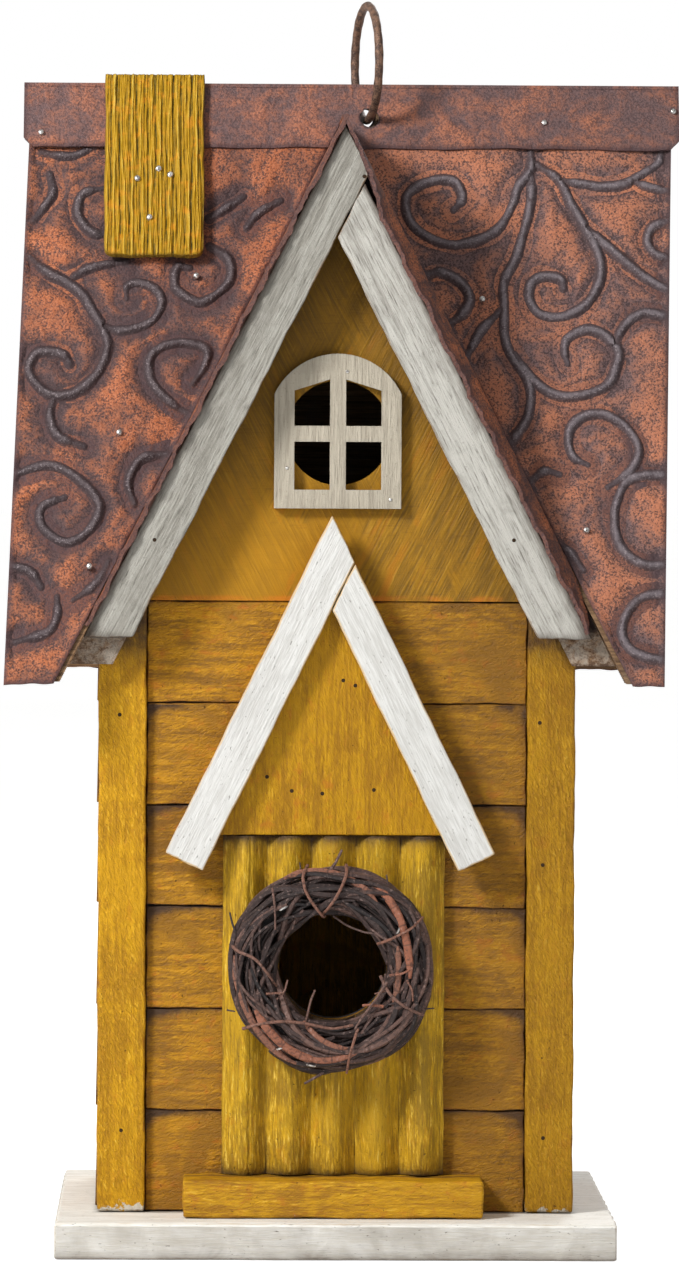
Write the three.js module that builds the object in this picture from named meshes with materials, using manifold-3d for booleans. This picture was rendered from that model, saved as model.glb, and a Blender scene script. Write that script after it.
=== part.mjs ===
// A rustic hanging birdhouse: a square box of lap siding on a base board, under a steep ridge roof of
// embossed metal that is crossed in front by a gable. The front wears a window, a wooden pediment, a panel
// of half-round columns, a sill and a twig wreath round the entrance; a wire ring swings in the ridge, and
// a little door at the back pivots aside for cleaning.
//
// Millimetres. +Z up, the front faces -Y, and the origin is the centre of the base's underside.

import * as THREE from 'three';
import { mergeVertices } from 'three/addons/utils/BufferGeometryUtils.js';
import Module from 'manifold-3d';

const wasm = await Module();
wasm.setup();

// ---- Driving dimensions ---------------------------------------------------------------------------

const GAP = 0.3;               // clearance left between neighbouring pieces
const FAR = 600;               // reach of the cutting solids, past everything

const BASE = { thick: 11.5, front: 30, back: 18, side: 12.5 };    // how far it reaches past the posts

const BODY = { width: 150, depth: 112 };                // over the faces of the corner posts
const POST = 15;               // side of a square corner post
const WALL = 6;                // thickness of the inner walls

const ROWS = 6;                // courses of siding
const ROW = 32.1;              // height of one course
const SIDING = 3.4;            // thickness of a siding board at its lower edge
const LAP = 0.6;               // how much thinner its upper edge is
const FRONT_REVEAL = 3;        // the front siding lies this far behind the posts' faces
const SIDE_PROUD = 0.7;        // the side siding stands this far outside the posts' faces

const SHEET = 1.2;             // roof metal with the body of its embossing
const DECK = 12;               // roof boards
const ROOF = { eaveDrop: 25, rise: 187, eaveReach: 22, sideReach: 28, middleX: -1.3, lean: 6, trim: 0.6 };
const CAP = { flap: 23.4, overhang: 2.2 };

const GABLE = { middleX: 1.5, reach: 12.2, footRise: 5.4, peakDrop: 9.1, front: 12, lip: 2 };
const BARGE = { width: 13.5, thick: 5, footRise: 8.6, rightDrop: 4.5 };

const WINDOW = { x: -0.2, aboveSiding: 29.4, width: 40, spring: 36, rise: 12.7, thick: 3 };
const SASH = { side: 6.3, bottom: 5.9, rail: 5, mullion: 5, railTop: 26, lightSide: 37.1, lightMiddle: 40.6 };
const ATTIC_HOLE = { x: 0, above: 23.8, radius: 16.5 };

const PEDIMENT = { x: -2, belowWindow: 2, height: 106, slope: 64, strip: 12.9, stripThick: 5 };
const TYMPANUM = { aboveFoot: 5.4, inset: 2, thick: 6 };

const ENTRANCE = { x: -1, belowPediment: 41.4, radius: 17 };
const COLUMN = { count: 5, width: 13.96, bulge: 7, middleX: -0.8, facets: 14 };
const SILL = { overhang: 12.1, depth: 20.7, height: 11.7 };
const WREATH = { x: -1.7, clear: 0.4, band: 15.3, thick: 12 };

const SLAT = { x: -58.6, width: 31.7, length: 63.5, thick: 3, above: 5 };

const RING = { x: 9.5, radius: 18.4, wire: 1.35, boreRadius: 3, boreDrop: 11.6, dip: 0.6, yaw: 11 };

const HATCH = { radius: 18, above: 45.5 };
const DOOR = { cover: 7, footCover: 5, thick: 5, corner: 3, pivotInset: 8 };
const SCREW = { shank: 2, head: 4, headHeight: 2, bite: 5 };

// ---- Places worked out from them ------------------------------------------------------------------

const middleY = (BASE.front - BASE.back) / 2;             // the ridge's place, with the origin under the base
const floorZ = BASE.thick + GAP;
const wallTop = BASE.thick + ROWS * ROW;
const halfW = BODY.width / 2;
const frontY = middleY - BODY.depth / 2;
const backY = middleY + BODY.depth / 2;
const insideX = halfW - POST - GAP;                       // end of what lies between the posts
const frontFace = frontY + FRONT_REVEAL;                  // outermost plane of the front siding
const sideFace = halfW + SIDE_PROUD;                      // outermost plane of the side siding
const mountY = frontFace - GAP;                           // back of everything fixed to the front
const innerFront = frontFace + SIDING + GAP;
const backFace = backY - FRONT_REVEAL;                    // outer face of the back wall
const backWall = WALL + FRONT_REVEAL;

const eaveZ = wallTop - ROOF.eaveDrop;
const ridgeZ = eaveZ + ROOF.rise;
const run = BODY.depth / 2 + ROOF.eaveReach;
const mainSlope = Math.atan2(ROOF.rise, run);
const roofHalf = halfW + ROOF.sideReach;

const footZ = eaveZ + GABLE.footRise;
const peakZ = ridgeZ - GABLE.peakDrop;
const gableHalf = halfW + GABLE.reach;
const gableSlope = Math.atan2(peakZ - footZ, gableHalf);
const bargeFront = frontY - GABLE.front;
const gableFront = bargeFront + BARGE.thick + GAP;        // front ends of the gable's roof boards

const windowFoot = wallTop + WINDOW.aboveSiding;
const pedimentPeak = windowFoot - PEDIMENT.belowWindow;
const pedimentFoot = pedimentPeak - PEDIMENT.height;
const tympanumFoot = pedimentFoot + TYMPANUM.aboveFoot;
const entranceZ = tympanumFoot - ENTRANCE.belowPediment;
const hatchZ = BASE.thick + HATCH.above;
const pivotZ = hatchZ + HATCH.radius + DOOR.cover;        // the door's screw, over the hatch

// Depths under a roof's outer surface, measured square to it.
const deckTop = SHEET + GAP;
const deckUnder = deckTop + DECK;
const wallUnder = deckUnder + GAP;

// ---- Solids ---------------------------------------------------------------------------------------

// A geometry as a manifold solid, and a manifold solid as a geometry again.
function solidOf(geometry) {
  const bare = geometry.clone();
  bare.deleteAttribute('normal');
  bare.deleteAttribute('uv');
  const merged = mergeVertices(bare, 1e-4);
  return new wasm.Manifold(new wasm.Mesh({
    numProp: 3,
    vertProperties: new Float32Array(merged.attributes.position.array),
    triVerts: Uint32Array.from(merged.index.array),
  }));
}

function geometryOf(solid) {
  const mesh = solid.getMesh();
  const geometry = new THREE.BufferGeometry();
  geometry.setAttribute('position', new THREE.BufferAttribute(new Float32Array(mesh.vertProperties), 3));
  geometry.setIndex(new THREE.BufferAttribute(new Uint32Array(mesh.triVerts), 1));
  geometry.computeVertexNormals();
  return geometry;
}

function cut(geometry, ...tools) {
  return geometryOf(tools.reduce((left, tool) => left.subtract(solidOf(tool)), solidOf(geometry)));
}

function keep(geometry, tool) {
  return geometryOf(solidOf(geometry).intersect(solidOf(tool)));
}

function shapeOf(points) {
  return new THREE.Shape(points.map(([a, b]) => new THREE.Vector2(a, b)));
}

function extrude(shape, depth, facets = 12) {
  return new THREE.ExtrudeGeometry(shape, { depth, bevelEnabled: false, curveSegments: facets });
}

// Outlines swept straight along one axis: (x, z) along Y, (y, z) along X and (x, y) along Z.
function alongY(shape, y0, y1, facets) {
  return extrude(shape, y1 - y0, facets).rotateX(Math.PI / 2).translate(0, y1, 0);
}

function alongX(shape, x0, x1, facets) {
  const turn = new THREE.Matrix4().makeBasis(
    new THREE.Vector3(0, 1, 0), new THREE.Vector3(0, 0, 1), new THREE.Vector3(1, 0, 0));
  return extrude(shape, x1 - x0, facets).applyMatrix4(turn).translate(x0, 0, 0);
}

function alongZ(shape, z0, z1, facets) {
  return extrude(shape, z1 - z0, facets).translate(0, 0, z0);
}

function box(x0, x1, y0, y1, z0, z1) {
  return new THREE.BoxGeometry(x1 - x0, y1 - y0, z1 - z0)
    .translate((x0 + x1) / 2, (y0 + y1) / 2, (z0 + z1) / 2);
}

function drillY(x, z, radius, facets = 40) {
  return new THREE.CylinderGeometry(radius, radius, FAR, facets).translate(x, 0, z);
}

// ---- The two roofs as planes ----------------------------------------------------------------------

// Height of the main roof's planes at y, a depth under the metal, and of the gable's planes at x.
function mainZ(y, depth) {
  return ridgeZ - depth / Math.cos(mainSlope) - Math.tan(mainSlope) * Math.abs(y - middleY);
}

function gableZ(x, depth) {
  return peakZ - depth / Math.cos(gableSlope) - Math.tan(gableSlope) * Math.abs(x - GABLE.middleX);
}

// The distance from the ridge at which those planes come down to a height.
function mainRun(z, depth) {
  return (mainZ(middleY, depth) - z) / Math.tan(mainSlope);
}

function gableRun(z, depth) {
  return (gableZ(GABLE.middleX, depth) - z) / Math.tan(gableSlope);
}

// Everything under the main roof, and everything under the gable in front of the ridge.
function underMain(depth) {
  const reach = mainRun(-FAR, depth);
  return alongX(shapeOf([
    [middleY, mainZ(middleY, depth)], [middleY - reach, -FAR], [middleY + reach, -FAR],
  ]), -FAR, FAR);
}

function underGable(depth) {
  const reach = gableRun(-FAR, depth);
  return alongY(shapeOf([
    [GABLE.middleX, gableZ(GABLE.middleX, depth)],
    [GABLE.middleX - reach, -FAR], [GABLE.middleX + reach, -FAR],
  ]), -FAR, middleY - GAP);
}

const underRoof = geometryOf(solidOf(underMain(wallUnder)).add(solidOf(underGable(wallUnder))));

// The ridge was set a little to one side of the eaves, so everything on the main roof leans with it.
function lean(geometry) {
  const place = geometry.attributes.position;
  for (let i = 0; i < place.count; i += 1) {
    place.setX(i, place.getX(i) + ROOF.lean * (place.getZ(i) - eaveZ) / ROOF.rise);
  }
  return geometry;
}

// A layer on one slope of the main roof, side -1 in front and 1 behind, level at its foot.
function mainLayer(side, top, under, x0, x1, foot) {
  const at = (z, depth) => middleY + side * mainRun(z, depth);
  const split = middleY + side * GAP / 2;
  return lean(alongX(shapeOf([
    [at(foot, top), foot], [split, mainZ(split, top)], [split, mainZ(split, under)], [at(foot, under), foot],
  ]), x0, x1));
}

// ---- Pieces ---------------------------------------------------------------------------------------

const house = new THREE.Group();
const ringHolder = new THREE.Group();
const doorHolder = new THREE.Group();
house.add(ringHolder, doorHolder);

const PAINT = {
  yellow: { color: 0xb98a24, roughness: 0.62, metalness: 0 },
  darkYellow: { color: 0x94691f, roughness: 0.7, metalness: 0 },
  white: { color: 0xdedad0, roughness: 0.6, metalness: 0 },
  greyWhite: { color: 0xb4aa9c, roughness: 0.65, metalness: 0 },
  timber: { color: 0x8a6a4c, roughness: 0.85, metalness: 0 },
  rust: { color: 0x8a5240, roughness: 0.7, metalness: 0.35 },
  twig: { color: 0x5a3a34, roughness: 0.9, metalness: 0 },
  wire: { color: 0x6b564c, roughness: 0.6, metalness: 0.6 },
  screw: { color: 0x9b9a96, roughness: 0.4, metalness: 0.9 },
};

function add(name, geometry, finish, parent = house) {
  const mesh = new THREE.Mesh(geometry, new THREE.MeshStandardMaterial(finish));
  mesh.name = name;
  parent.add(mesh);
  return mesh;
}

const entrance = drillY(ENTRANCE.x, entranceZ, ENTRANCE.radius);
const atticHole = drillY(ATTIC_HOLE.x, windowFoot + ATTIC_HOLE.above, ATTIC_HOLE.radius);

// The base board and the four corner posts, which are cut to the slopes above them.
const baseX = halfW + BASE.side;
add('base_board', box(-baseX, baseX, frontY - BASE.front, backY + BASE.back, 0, BASE.thick), PAINT.white);

for (const [end, y] of [['front', frontY], ['back', backY - POST]]) {
  for (const [hand, x] of [['left', -halfW], ['right', halfW - POST]]) {
    add(`${end}_${hand}_post`, keep(box(x, x + POST, y, y + POST, floorZ, FAR), underRoof), PAINT.yellow);
  }
}

// The inner walls. The front one stops behind the gable wall, and the others run up under the roof.
add('front_wall', cut(box(-insideX, insideX, innerFront, innerFront + WALL, floorZ, wallTop), entrance),
  PAINT.timber);

const pivotBore = new THREE.CylinderGeometry(SCREW.shank + GAP, SCREW.shank + GAP, 2 * (SCREW.bite + GAP), 24)
  .translate(0, backFace, pivotZ);
const hatch = drillY(0, hatchZ, HATCH.radius);
const backBoard = box(-insideX, insideX, backFace - backWall, backFace, floorZ, FAR);
add('back_wall', keep(cut(backBoard, hatch, pivotBore), underRoof), PAINT.yellow);

const sideInner = sideFace - SIDING - GAP;
const sideY = [frontY + POST + GAP, backY - POST - GAP];
for (const [hand, side] of [['left', -1], ['right', 1]]) {
  const xs = [side * sideInner, side * (sideInner - WALL)].sort((a, b) => a - b);
  add(`${hand}_wall`, keep(box(...xs, ...sideY, floorZ, FAR), underRoof), PAINT.timber);
}

// A siding board's section, thinner at the top, with its outer side towards -1 of its first axis.
function boardSection(face, z0, z1) {
  return shapeOf([[face, z0], [face + LAP, z1], [face + SIDING, z1], [face + SIDING, z0]]);
}

for (let row = 0; row < ROWS; row += 1) {
  const z0 = BASE.thick + row * ROW + GAP;
  const z1 = BASE.thick + (row + 1) * ROW;
  const front = keep(alongX(boardSection(frontFace, z0, z1), -insideX, insideX), underRoof);
  const holed = Math.abs(entranceZ - (z0 + z1) / 2) < ENTRANCE.radius + ROW / 2;
  add(`front_board_${row + 1}`, holed ? cut(front, entrance) : front, PAINT.yellow);

  const left = alongY(boardSection(-sideFace, z0, z1), ...sideY);
  add(`left_board_${row + 1}`, keep(left, underRoof), PAINT.yellow);
  const right = alongY(boardSection(-sideFace, z0, z1), -sideY[1], -sideY[0]).rotateZ(Math.PI);
  add(`right_board_${row + 1}`, keep(right, underRoof), PAINT.yellow);
}

// The triangles over the siding: a thick gable wall in front, with the attic hole, and thin ones each side.
add('gable_wall', cut(
  keep(box(-insideX, insideX, frontFace, innerFront + WALL, wallTop + GAP, FAR), underRoof), atticHole),
PAINT.darkYellow);

const sideTop = box(-sideFace, -sideFace + SIDING, ...sideY, wallTop + GAP, FAR);
add('left_gable_board', keep(sideTop, underRoof), PAINT.yellow);
add('right_gable_board', keep(box(sideFace - SIDING, sideFace, ...sideY, wallTop + GAP, FAR), underRoof),
  PAINT.yellow);

// ---- The roof -------------------------------------------------------------------------------------

// The bore that the ring passes through, along the ring's own plane.
const boreZ = ridgeZ + deckTop / Math.cos(mainSlope) - RING.boreDrop;
const ringYaw = THREE.MathUtils.degToRad(RING.yaw);
const boreLength = 2 * (DECK + RING.boreDrop);
const ringBore = new THREE.CylinderGeometry(RING.boreRadius, RING.boreRadius, boreLength, 24)
  .rotateZ(ringYaw).translate(RING.x, middleY, boreZ);

const roofX = [ROOF.middleX - roofHalf, ROOF.middleX + roofHalf];
const boardX = [roofX[0] + ROOF.trim, roofX[1] - ROOF.trim];     // the boards end just inside the metal
const leftHalf = box(-FAR, GABLE.middleX - GAP / 2, -FAR, FAR, -FAR, FAR);
const rightHalf = box(GABLE.middleX + GAP / 2, FAR, -FAR, FAR, -FAR, FAR);
const overGable = underGable(-GAP);

const frontDeck = cut(
  mainLayer(-1, deckTop, deckUnder, ...boardX, eaveZ + GAP), underGable(SHEET), ringBore);
add('roof_board_front_left', keep(frontDeck, leftHalf), PAINT.timber);
add('roof_board_front_right', keep(frontDeck, rightHalf), PAINT.timber);
add('roof_board_back', cut(mainLayer(1, deckTop, deckUnder, ...boardX, eaveZ + GAP), ringBore), PAINT.timber);

const frontSheet = cut(mainLayer(-1, 0, SHEET, ...roofX, eaveZ), overGable, ringBore);
add('roof_sheet_front_left', keep(frontSheet, leftHalf), PAINT.rust);
add('roof_sheet_front_right', keep(frontSheet, rightHalf), PAINT.rust);
add('roof_sheet_back', cut(mainLayer(1, 0, SHEET, ...roofX, eaveZ), ringBore), PAINT.rust);

// The ridge cap: one folded strip over both sheets, snipped where the gable's peak meets it.
const capFoot = mainZ(middleY, -deckTop) - CAP.flap * Math.sin(mainSlope);
const capAt = (side, depth) => [middleY + side * mainRun(capFoot, depth), capFoot];
add('ridge_cap', cut(lean(alongX(shapeOf([
  capAt(-1, -deckTop), [middleY, mainZ(middleY, -deckTop)], capAt(1, -deckTop),
  capAt(1, -GAP), [middleY, mainZ(middleY, -GAP)], capAt(-1, -GAP),
]), roofX[0] - CAP.overhang, roofX[1] + CAP.overhang)), overGable, ringBore), PAINT.rust);

// The gable's roof boards meet at its peak and run back until they meet the underside of the main roof.
for (const [hand, side] of [['left', -1], ['right', 1]]) {
  const at = (z, depth) => GABLE.middleX + side * gableRun(z, depth);
  const split = GABLE.middleX + side * GAP / 2;
  add(`gable_board_${hand}`, cut(alongY(shapeOf([
    [at(footZ, deckTop), footZ], [split, gableZ(split, deckTop)],
    [split, gableZ(split, deckUnder)], [at(footZ, deckUnder), footZ],
  ]), gableFront, middleY - 2 * GAP), underMain(deckUnder)), PAINT.timber);
}

// Its metal is one sheet folded over the peak, trimmed in the valleys by the main roof.
const gableAt = (side, depth) => [GABLE.middleX + side * gableRun(footZ, depth), footZ];
add('gable_sheet', cut(alongY(shapeOf([
  gableAt(-1, 0), [GABLE.middleX, peakZ], gableAt(1, 0),
  gableAt(1, SHEET), [GABLE.middleX, gableZ(GABLE.middleX, SHEET)], gableAt(-1, SHEET),
]), bargeFront - GABLE.lip, middleY - 2 * GAP), underMain(SHEET)), PAINT.rust);

// Two raking boards that meet at a peak: the left one runs right up, and the right one butts against it.
// Depths are measured square to the slope, under a peak at (x, z).
function rakePair({ x, z, slope, width, left, right, footLeft, footRight }) {
  const s = Math.sin(slope);
  const c = Math.cos(slope);
  const meet = (a, b) => [x + (a - b) / (2 * s), z - (a + b) / (2 * c)];
  const seam = left + width + GAP;
  return {
    left: [meet(left, left), meet(left + width, left), ...footLeft],
    right: [meet(seam, right), meet(seam, right + width), ...footRight],
  };
}

const bargeTop = SHEET + GAP;
const bargeFoot = footZ + BARGE.footRise;
const rightTop = bargeTop + BARGE.rightDrop;
const bargeEnd = (side, depth) => [GABLE.middleX + side * gableRun(bargeFoot, depth), bargeFoot];
const barges = rakePair({
  x: GABLE.middleX, z: peakZ, slope: gableSlope, width: BARGE.width, left: bargeTop, right: rightTop,
  footLeft: [bargeEnd(-1, bargeTop + BARGE.width), bargeEnd(-1, bargeTop)],
  footRight: [bargeEnd(1, rightTop + BARGE.width), bargeEnd(1, rightTop)],
});
add('bargeboard_left', alongY(shapeOf(barges.left), bargeFront, bargeFront + BARGE.thick), PAINT.greyWhite);
add('bargeboard_right', alongY(shapeOf(barges.right), bargeFront, bargeFront + BARGE.thick), PAINT.greyWhite);

// ---- The front's trim -----------------------------------------------------------------------------

// The window: an arched frame with four lights, over the attic hole.
function windowFrame() {
  const half = WINDOW.width / 2;
  const arc = (half * half + WINDOW.rise * WINDOW.rise) / (2 * WINDOW.rise);
  const sweep = Math.asin(half / arc);
  const outline = new THREE.Shape();
  outline.moveTo(-half, 0);
  outline.lineTo(half, 0);
  outline.absarc(0, WINDOW.spring + WINDOW.rise - arc, arc, Math.PI / 2 - sweep, Math.PI / 2 + sweep, false);

  const railFoot = SASH.railTop - SASH.rail;
  const lights = [-1, 1].flatMap((side) => {
    const a = side * SASH.mullion / 2;
    const b = side * (half - SASH.side);
    return [
      [[a, SASH.bottom], [b, SASH.bottom], [b, railFoot], [a, railFoot]],
      [[a, SASH.railTop], [b, SASH.railTop], [b, SASH.lightSide], [a, SASH.lightMiddle]],
    ];
  });
  return cut(alongY(outline, mountY - WINDOW.thick, mountY),
    ...lights.map((points) => alongY(shapeOf(points), mountY - 2 * WINDOW.thick, mountY + WINDOW.thick)));
}

add('window_frame', windowFrame(), PAINT.greyWhite).position.set(WINDOW.x, 0, windowFoot);

// The pediment: a triangular board with two strips on it, the left one running up to the peak.
const pedimentSlope = THREE.MathUtils.degToRad(PEDIMENT.slope);
const stripFoot = (side, depth) => {
  const reach = PEDIMENT.height / Math.tan(pedimentSlope);
  return [PEDIMENT.x + side * (reach - depth * Math.sin(pedimentSlope)),
    pedimentFoot - depth * Math.cos(pedimentSlope)];
};
const strips = rakePair({
  x: PEDIMENT.x, z: pedimentPeak, slope: pedimentSlope, width: PEDIMENT.strip, left: 0, right: 0,
  footLeft: [stripFoot(-1, PEDIMENT.strip), stripFoot(-1, 0)],
  footRight: [stripFoot(1, PEDIMENT.strip), stripFoot(1, 0)],
});
const tympanumPeak = pedimentPeak - TYMPANUM.inset / Math.cos(pedimentSlope);
const tympanumHalf = (tympanumPeak - tympanumFoot) / Math.tan(pedimentSlope);
add('pediment_board', alongY(shapeOf([
  [PEDIMENT.x - tympanumHalf, tympanumFoot], [PEDIMENT.x + tympanumHalf, tympanumFoot],
  [PEDIMENT.x, tympanumPeak],
]), mountY - TYMPANUM.thick, mountY), PAINT.yellow);
const stripY = [mountY - TYMPANUM.thick - GAP - PEDIMENT.stripThick, mountY - TYMPANUM.thick - GAP];
add('pediment_strip_left', alongY(shapeOf(strips.left), ...stripY), PAINT.white);
add('pediment_strip_right', alongY(shapeOf(strips.right), ...stripY), PAINT.white);

// The sill on the base, and the half-round columns that stand on it up to the pediment.
const sillTop = floorZ + SILL.height;
const sillReach = COLUMN.count * COLUMN.width / 2 + SILL.overhang;
const sillX = [COLUMN.middleX - sillReach, COLUMN.middleX + sillReach];
add('sill', box(...sillX, mountY - SILL.depth, mountY, floorZ, sillTop), PAINT.yellow);

const columnZ = [sillTop + GAP, tympanumFoot - GAP];
for (let i = 0; i < COLUMN.count; i += 1) {
  const x = COLUMN.middleX + (i - (COLUMN.count - 1) / 2) * COLUMN.width;
  const radius = (COLUMN.width - GAP) / 2;
  const section = new THREE.Shape();
  section.absellipse(0, 0, radius, COLUMN.bulge, Math.PI, 2 * Math.PI, false, 0);
  section.closePath();
  const column = alongZ(section, ...columnZ, COLUMN.facets).translate(x, mountY, 0);
  const reach = Math.abs(x - ENTRANCE.x);
  const name = `column_${i + 1}`;
  if (reach >= ENTRANCE.radius + radius) {
    add(name, column, PAINT.yellow);
  } else if (reach + radius > ENTRANCE.radius) {
    add(name, cut(column, entrance), PAINT.yellow);
  } else {
    // The entrance cuts a middle column in two.
    const holed = cut(column, entrance);
    add(`${name}_lower`, keep(holed, box(-FAR, FAR, -FAR, FAR, -FAR, entranceZ)), PAINT.yellow);
    add(`${name}_upper`, keep(holed, box(-FAR, FAR, -FAR, FAR, entranceZ, FAR)), PAINT.yellow);
  }
}

// The wreath's outer shape, a flattened ring round the entrance.
const wreathMiddle = ENTRANCE.radius + WREATH.clear + WREATH.band / 2;
const wreathSection = new THREE.EllipseCurve(wreathMiddle, 0, WREATH.band / 2, WREATH.thick / 2);
add('wreath', new THREE.LatheGeometry(wreathSection.getPoints(12), 40)
  .translate(0, mountY - COLUMN.bulge - GAP - WREATH.thick / 2, 0), PAINT.twig)
  .position.set(WREATH.x, 0, entranceZ);

// The slat nailed over the ridge cap, on the front slope.
const slatAt = (down, depth) => [
  middleY - down * Math.cos(mainSlope) + depth * Math.sin(mainSlope),
  ridgeZ - down * Math.sin(mainSlope) - depth * Math.cos(mainSlope),
];
const slatUnder = -deckTop - GAP;
const slatTop = slatUnder - SLAT.thick;
const slatEnd = SLAT.length - SLAT.above;
add('ridge_slat', alongX(shapeOf([
  slatAt(-SLAT.above, slatTop), slatAt(-SLAT.above, slatUnder),
  slatAt(slatEnd, slatUnder), slatAt(slatEnd, slatTop),
]), SLAT.x - SLAT.width / 2, SLAT.x + SLAT.width / 2), PAINT.yellow);

// ---- What moves -----------------------------------------------------------------------------------

// The hanging ring stands in the ridge's bore and swings about it.
add('hanging_ring', new THREE.TorusGeometry(RING.radius, RING.wire, 10, 48).rotateY(Math.PI / 2),
  PAINT.wire, ringHolder);
ringHolder.position.set(RING.x, middleY, boreZ + RING.radius - RING.dip);
ringHolder.rotation.z = ringYaw;

// The back door hangs on one screw and covers the hatch.
const doorOutline = new THREE.Shape();
const cornerX = HATCH.radius + DOOR.cover - DOOR.corner;
const cornerTop = DOOR.pivotInset - DOOR.corner;
const cornerFoot = DOOR.corner - DOOR.cover - 2 * HATCH.radius - DOOR.footCover;
for (const [i, [x, z]] of [
  [cornerX, cornerFoot], [cornerX, cornerTop], [-cornerX, cornerTop], [-cornerX, cornerFoot],
].entries()) {
  doorOutline.absarc(x, z, DOOR.corner, (i - 1) * Math.PI / 2, i * Math.PI / 2, false);
}
add('cleanout_door', cut(alongY(doorOutline, GAP, GAP + DOOR.thick, 4), drillY(0, 0, SCREW.shank + GAP, 24)),
  PAINT.yellow, doorHolder);
doorHolder.position.set(0, backFace, pivotZ);

const headY = 2 * GAP + DOOR.thick;
add('door_screw', new THREE.LatheGeometry([
  [0, -SCREW.bite], [SCREW.shank, -SCREW.bite], [SCREW.shank, headY], [SCREW.head, headY],
  [SCREW.head * 0.8, headY + SCREW.headHeight * 0.75], [0, headY + SCREW.headHeight],
].map(([r, y]) => new THREE.Vector2(r, y)), 24), PAINT.screw).position.set(0, backFace, pivotZ);

export default house;
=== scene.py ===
"""A rustic birdhouse. Ochre lap siding between corner posts stands on a white base board, under a steep roof
of embossed tin that a gable crosses in front. A window, a white pediment, a panel of half-round columns and a
sill dress the front, a wreath of wound twigs rings the entrance, and a wire ring swings in the ridge.

Sizes are millimetres, and become metres where a mesh is made. +Z is up and the front faces -Y.
"""

import math

import bmesh
import bpy
import numpy as np
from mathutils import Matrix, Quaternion, Vector


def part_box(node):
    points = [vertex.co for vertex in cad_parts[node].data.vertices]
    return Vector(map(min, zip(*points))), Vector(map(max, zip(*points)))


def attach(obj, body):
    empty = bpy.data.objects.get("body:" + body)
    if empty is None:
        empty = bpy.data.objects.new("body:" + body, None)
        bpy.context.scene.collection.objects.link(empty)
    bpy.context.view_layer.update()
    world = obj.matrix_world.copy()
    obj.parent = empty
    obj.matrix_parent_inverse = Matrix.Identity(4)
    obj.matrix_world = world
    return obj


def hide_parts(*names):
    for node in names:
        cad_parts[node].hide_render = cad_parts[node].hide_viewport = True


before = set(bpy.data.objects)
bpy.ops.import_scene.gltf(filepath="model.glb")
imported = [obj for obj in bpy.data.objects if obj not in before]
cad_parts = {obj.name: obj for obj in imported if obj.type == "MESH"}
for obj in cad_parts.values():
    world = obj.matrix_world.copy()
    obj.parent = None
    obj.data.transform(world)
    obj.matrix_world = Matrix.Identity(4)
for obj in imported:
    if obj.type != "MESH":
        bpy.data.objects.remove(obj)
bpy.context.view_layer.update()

# ---- Floor, light and camera ------------------------------------------------------------------------
# The house stands on a wide pale floor under a soft white sky. One large lamp to the upper left models
# the boards, a weak one keeps the right-hand side open, and one behind lights the back.

MM = 0.001
SHARP_EDGE = 40


def grid_faces(rows, columns, wrapped=False):
    """Four-sided faces of a grid of points numbered row by row. Wrapped joins a row's end to its start."""
    number = np.arange(rows * columns).reshape(rows, columns)
    if wrapped:
        number = np.column_stack([number, number[:, 0]])
    quads = np.stack([number[:-1, :-1], number[:-1, 1:], number[1:, 1:], number[1:, :-1]], -1)
    return quads.reshape(-1, 4).tolist()


def make_piece(name, points, faces, finish, marks=None):
    """A mesh object of points in millimetres. Its faces are turned outwards, and edges over SHARP_EDGE
    degrees stay sharp. Marks are named numbers, one for each point, that a finish reads."""
    mesh = bpy.data.meshes.new(name)
    mesh.from_pydata((np.asarray(points).reshape(-1, 3) * MM).tolist(), [], faces)
    for mark, values in (marks or {}).items():
        layer = mesh.attributes.new(mark, "FLOAT", "POINT")
        layer.data.foreach_set("value", np.asarray(values, np.float32).ravel())
    work = bmesh.new()
    work.from_mesh(mesh)
    bmesh.ops.recalc_face_normals(work, faces=work.faces)
    work.to_mesh(mesh)
    work.free()
    mesh.shade_smooth()
    mesh.set_sharp_from_angle(angle=math.radians(SHARP_EDGE))
    mesh.materials.append(finish)
    piece = bpy.data.objects.new(name, mesh)
    bpy.context.scene.collection.objects.link(piece)
    return piece


def tint(red, green, blue):
    """A colour given as it looks, 0 to 255, as linear light, by the usual display curve."""
    return tuple(((c / 255 + 0.055) / 1.055) ** 2.4 if c > 10 else c / 255 / 12.92
                 for c in (red, green, blue))


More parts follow.
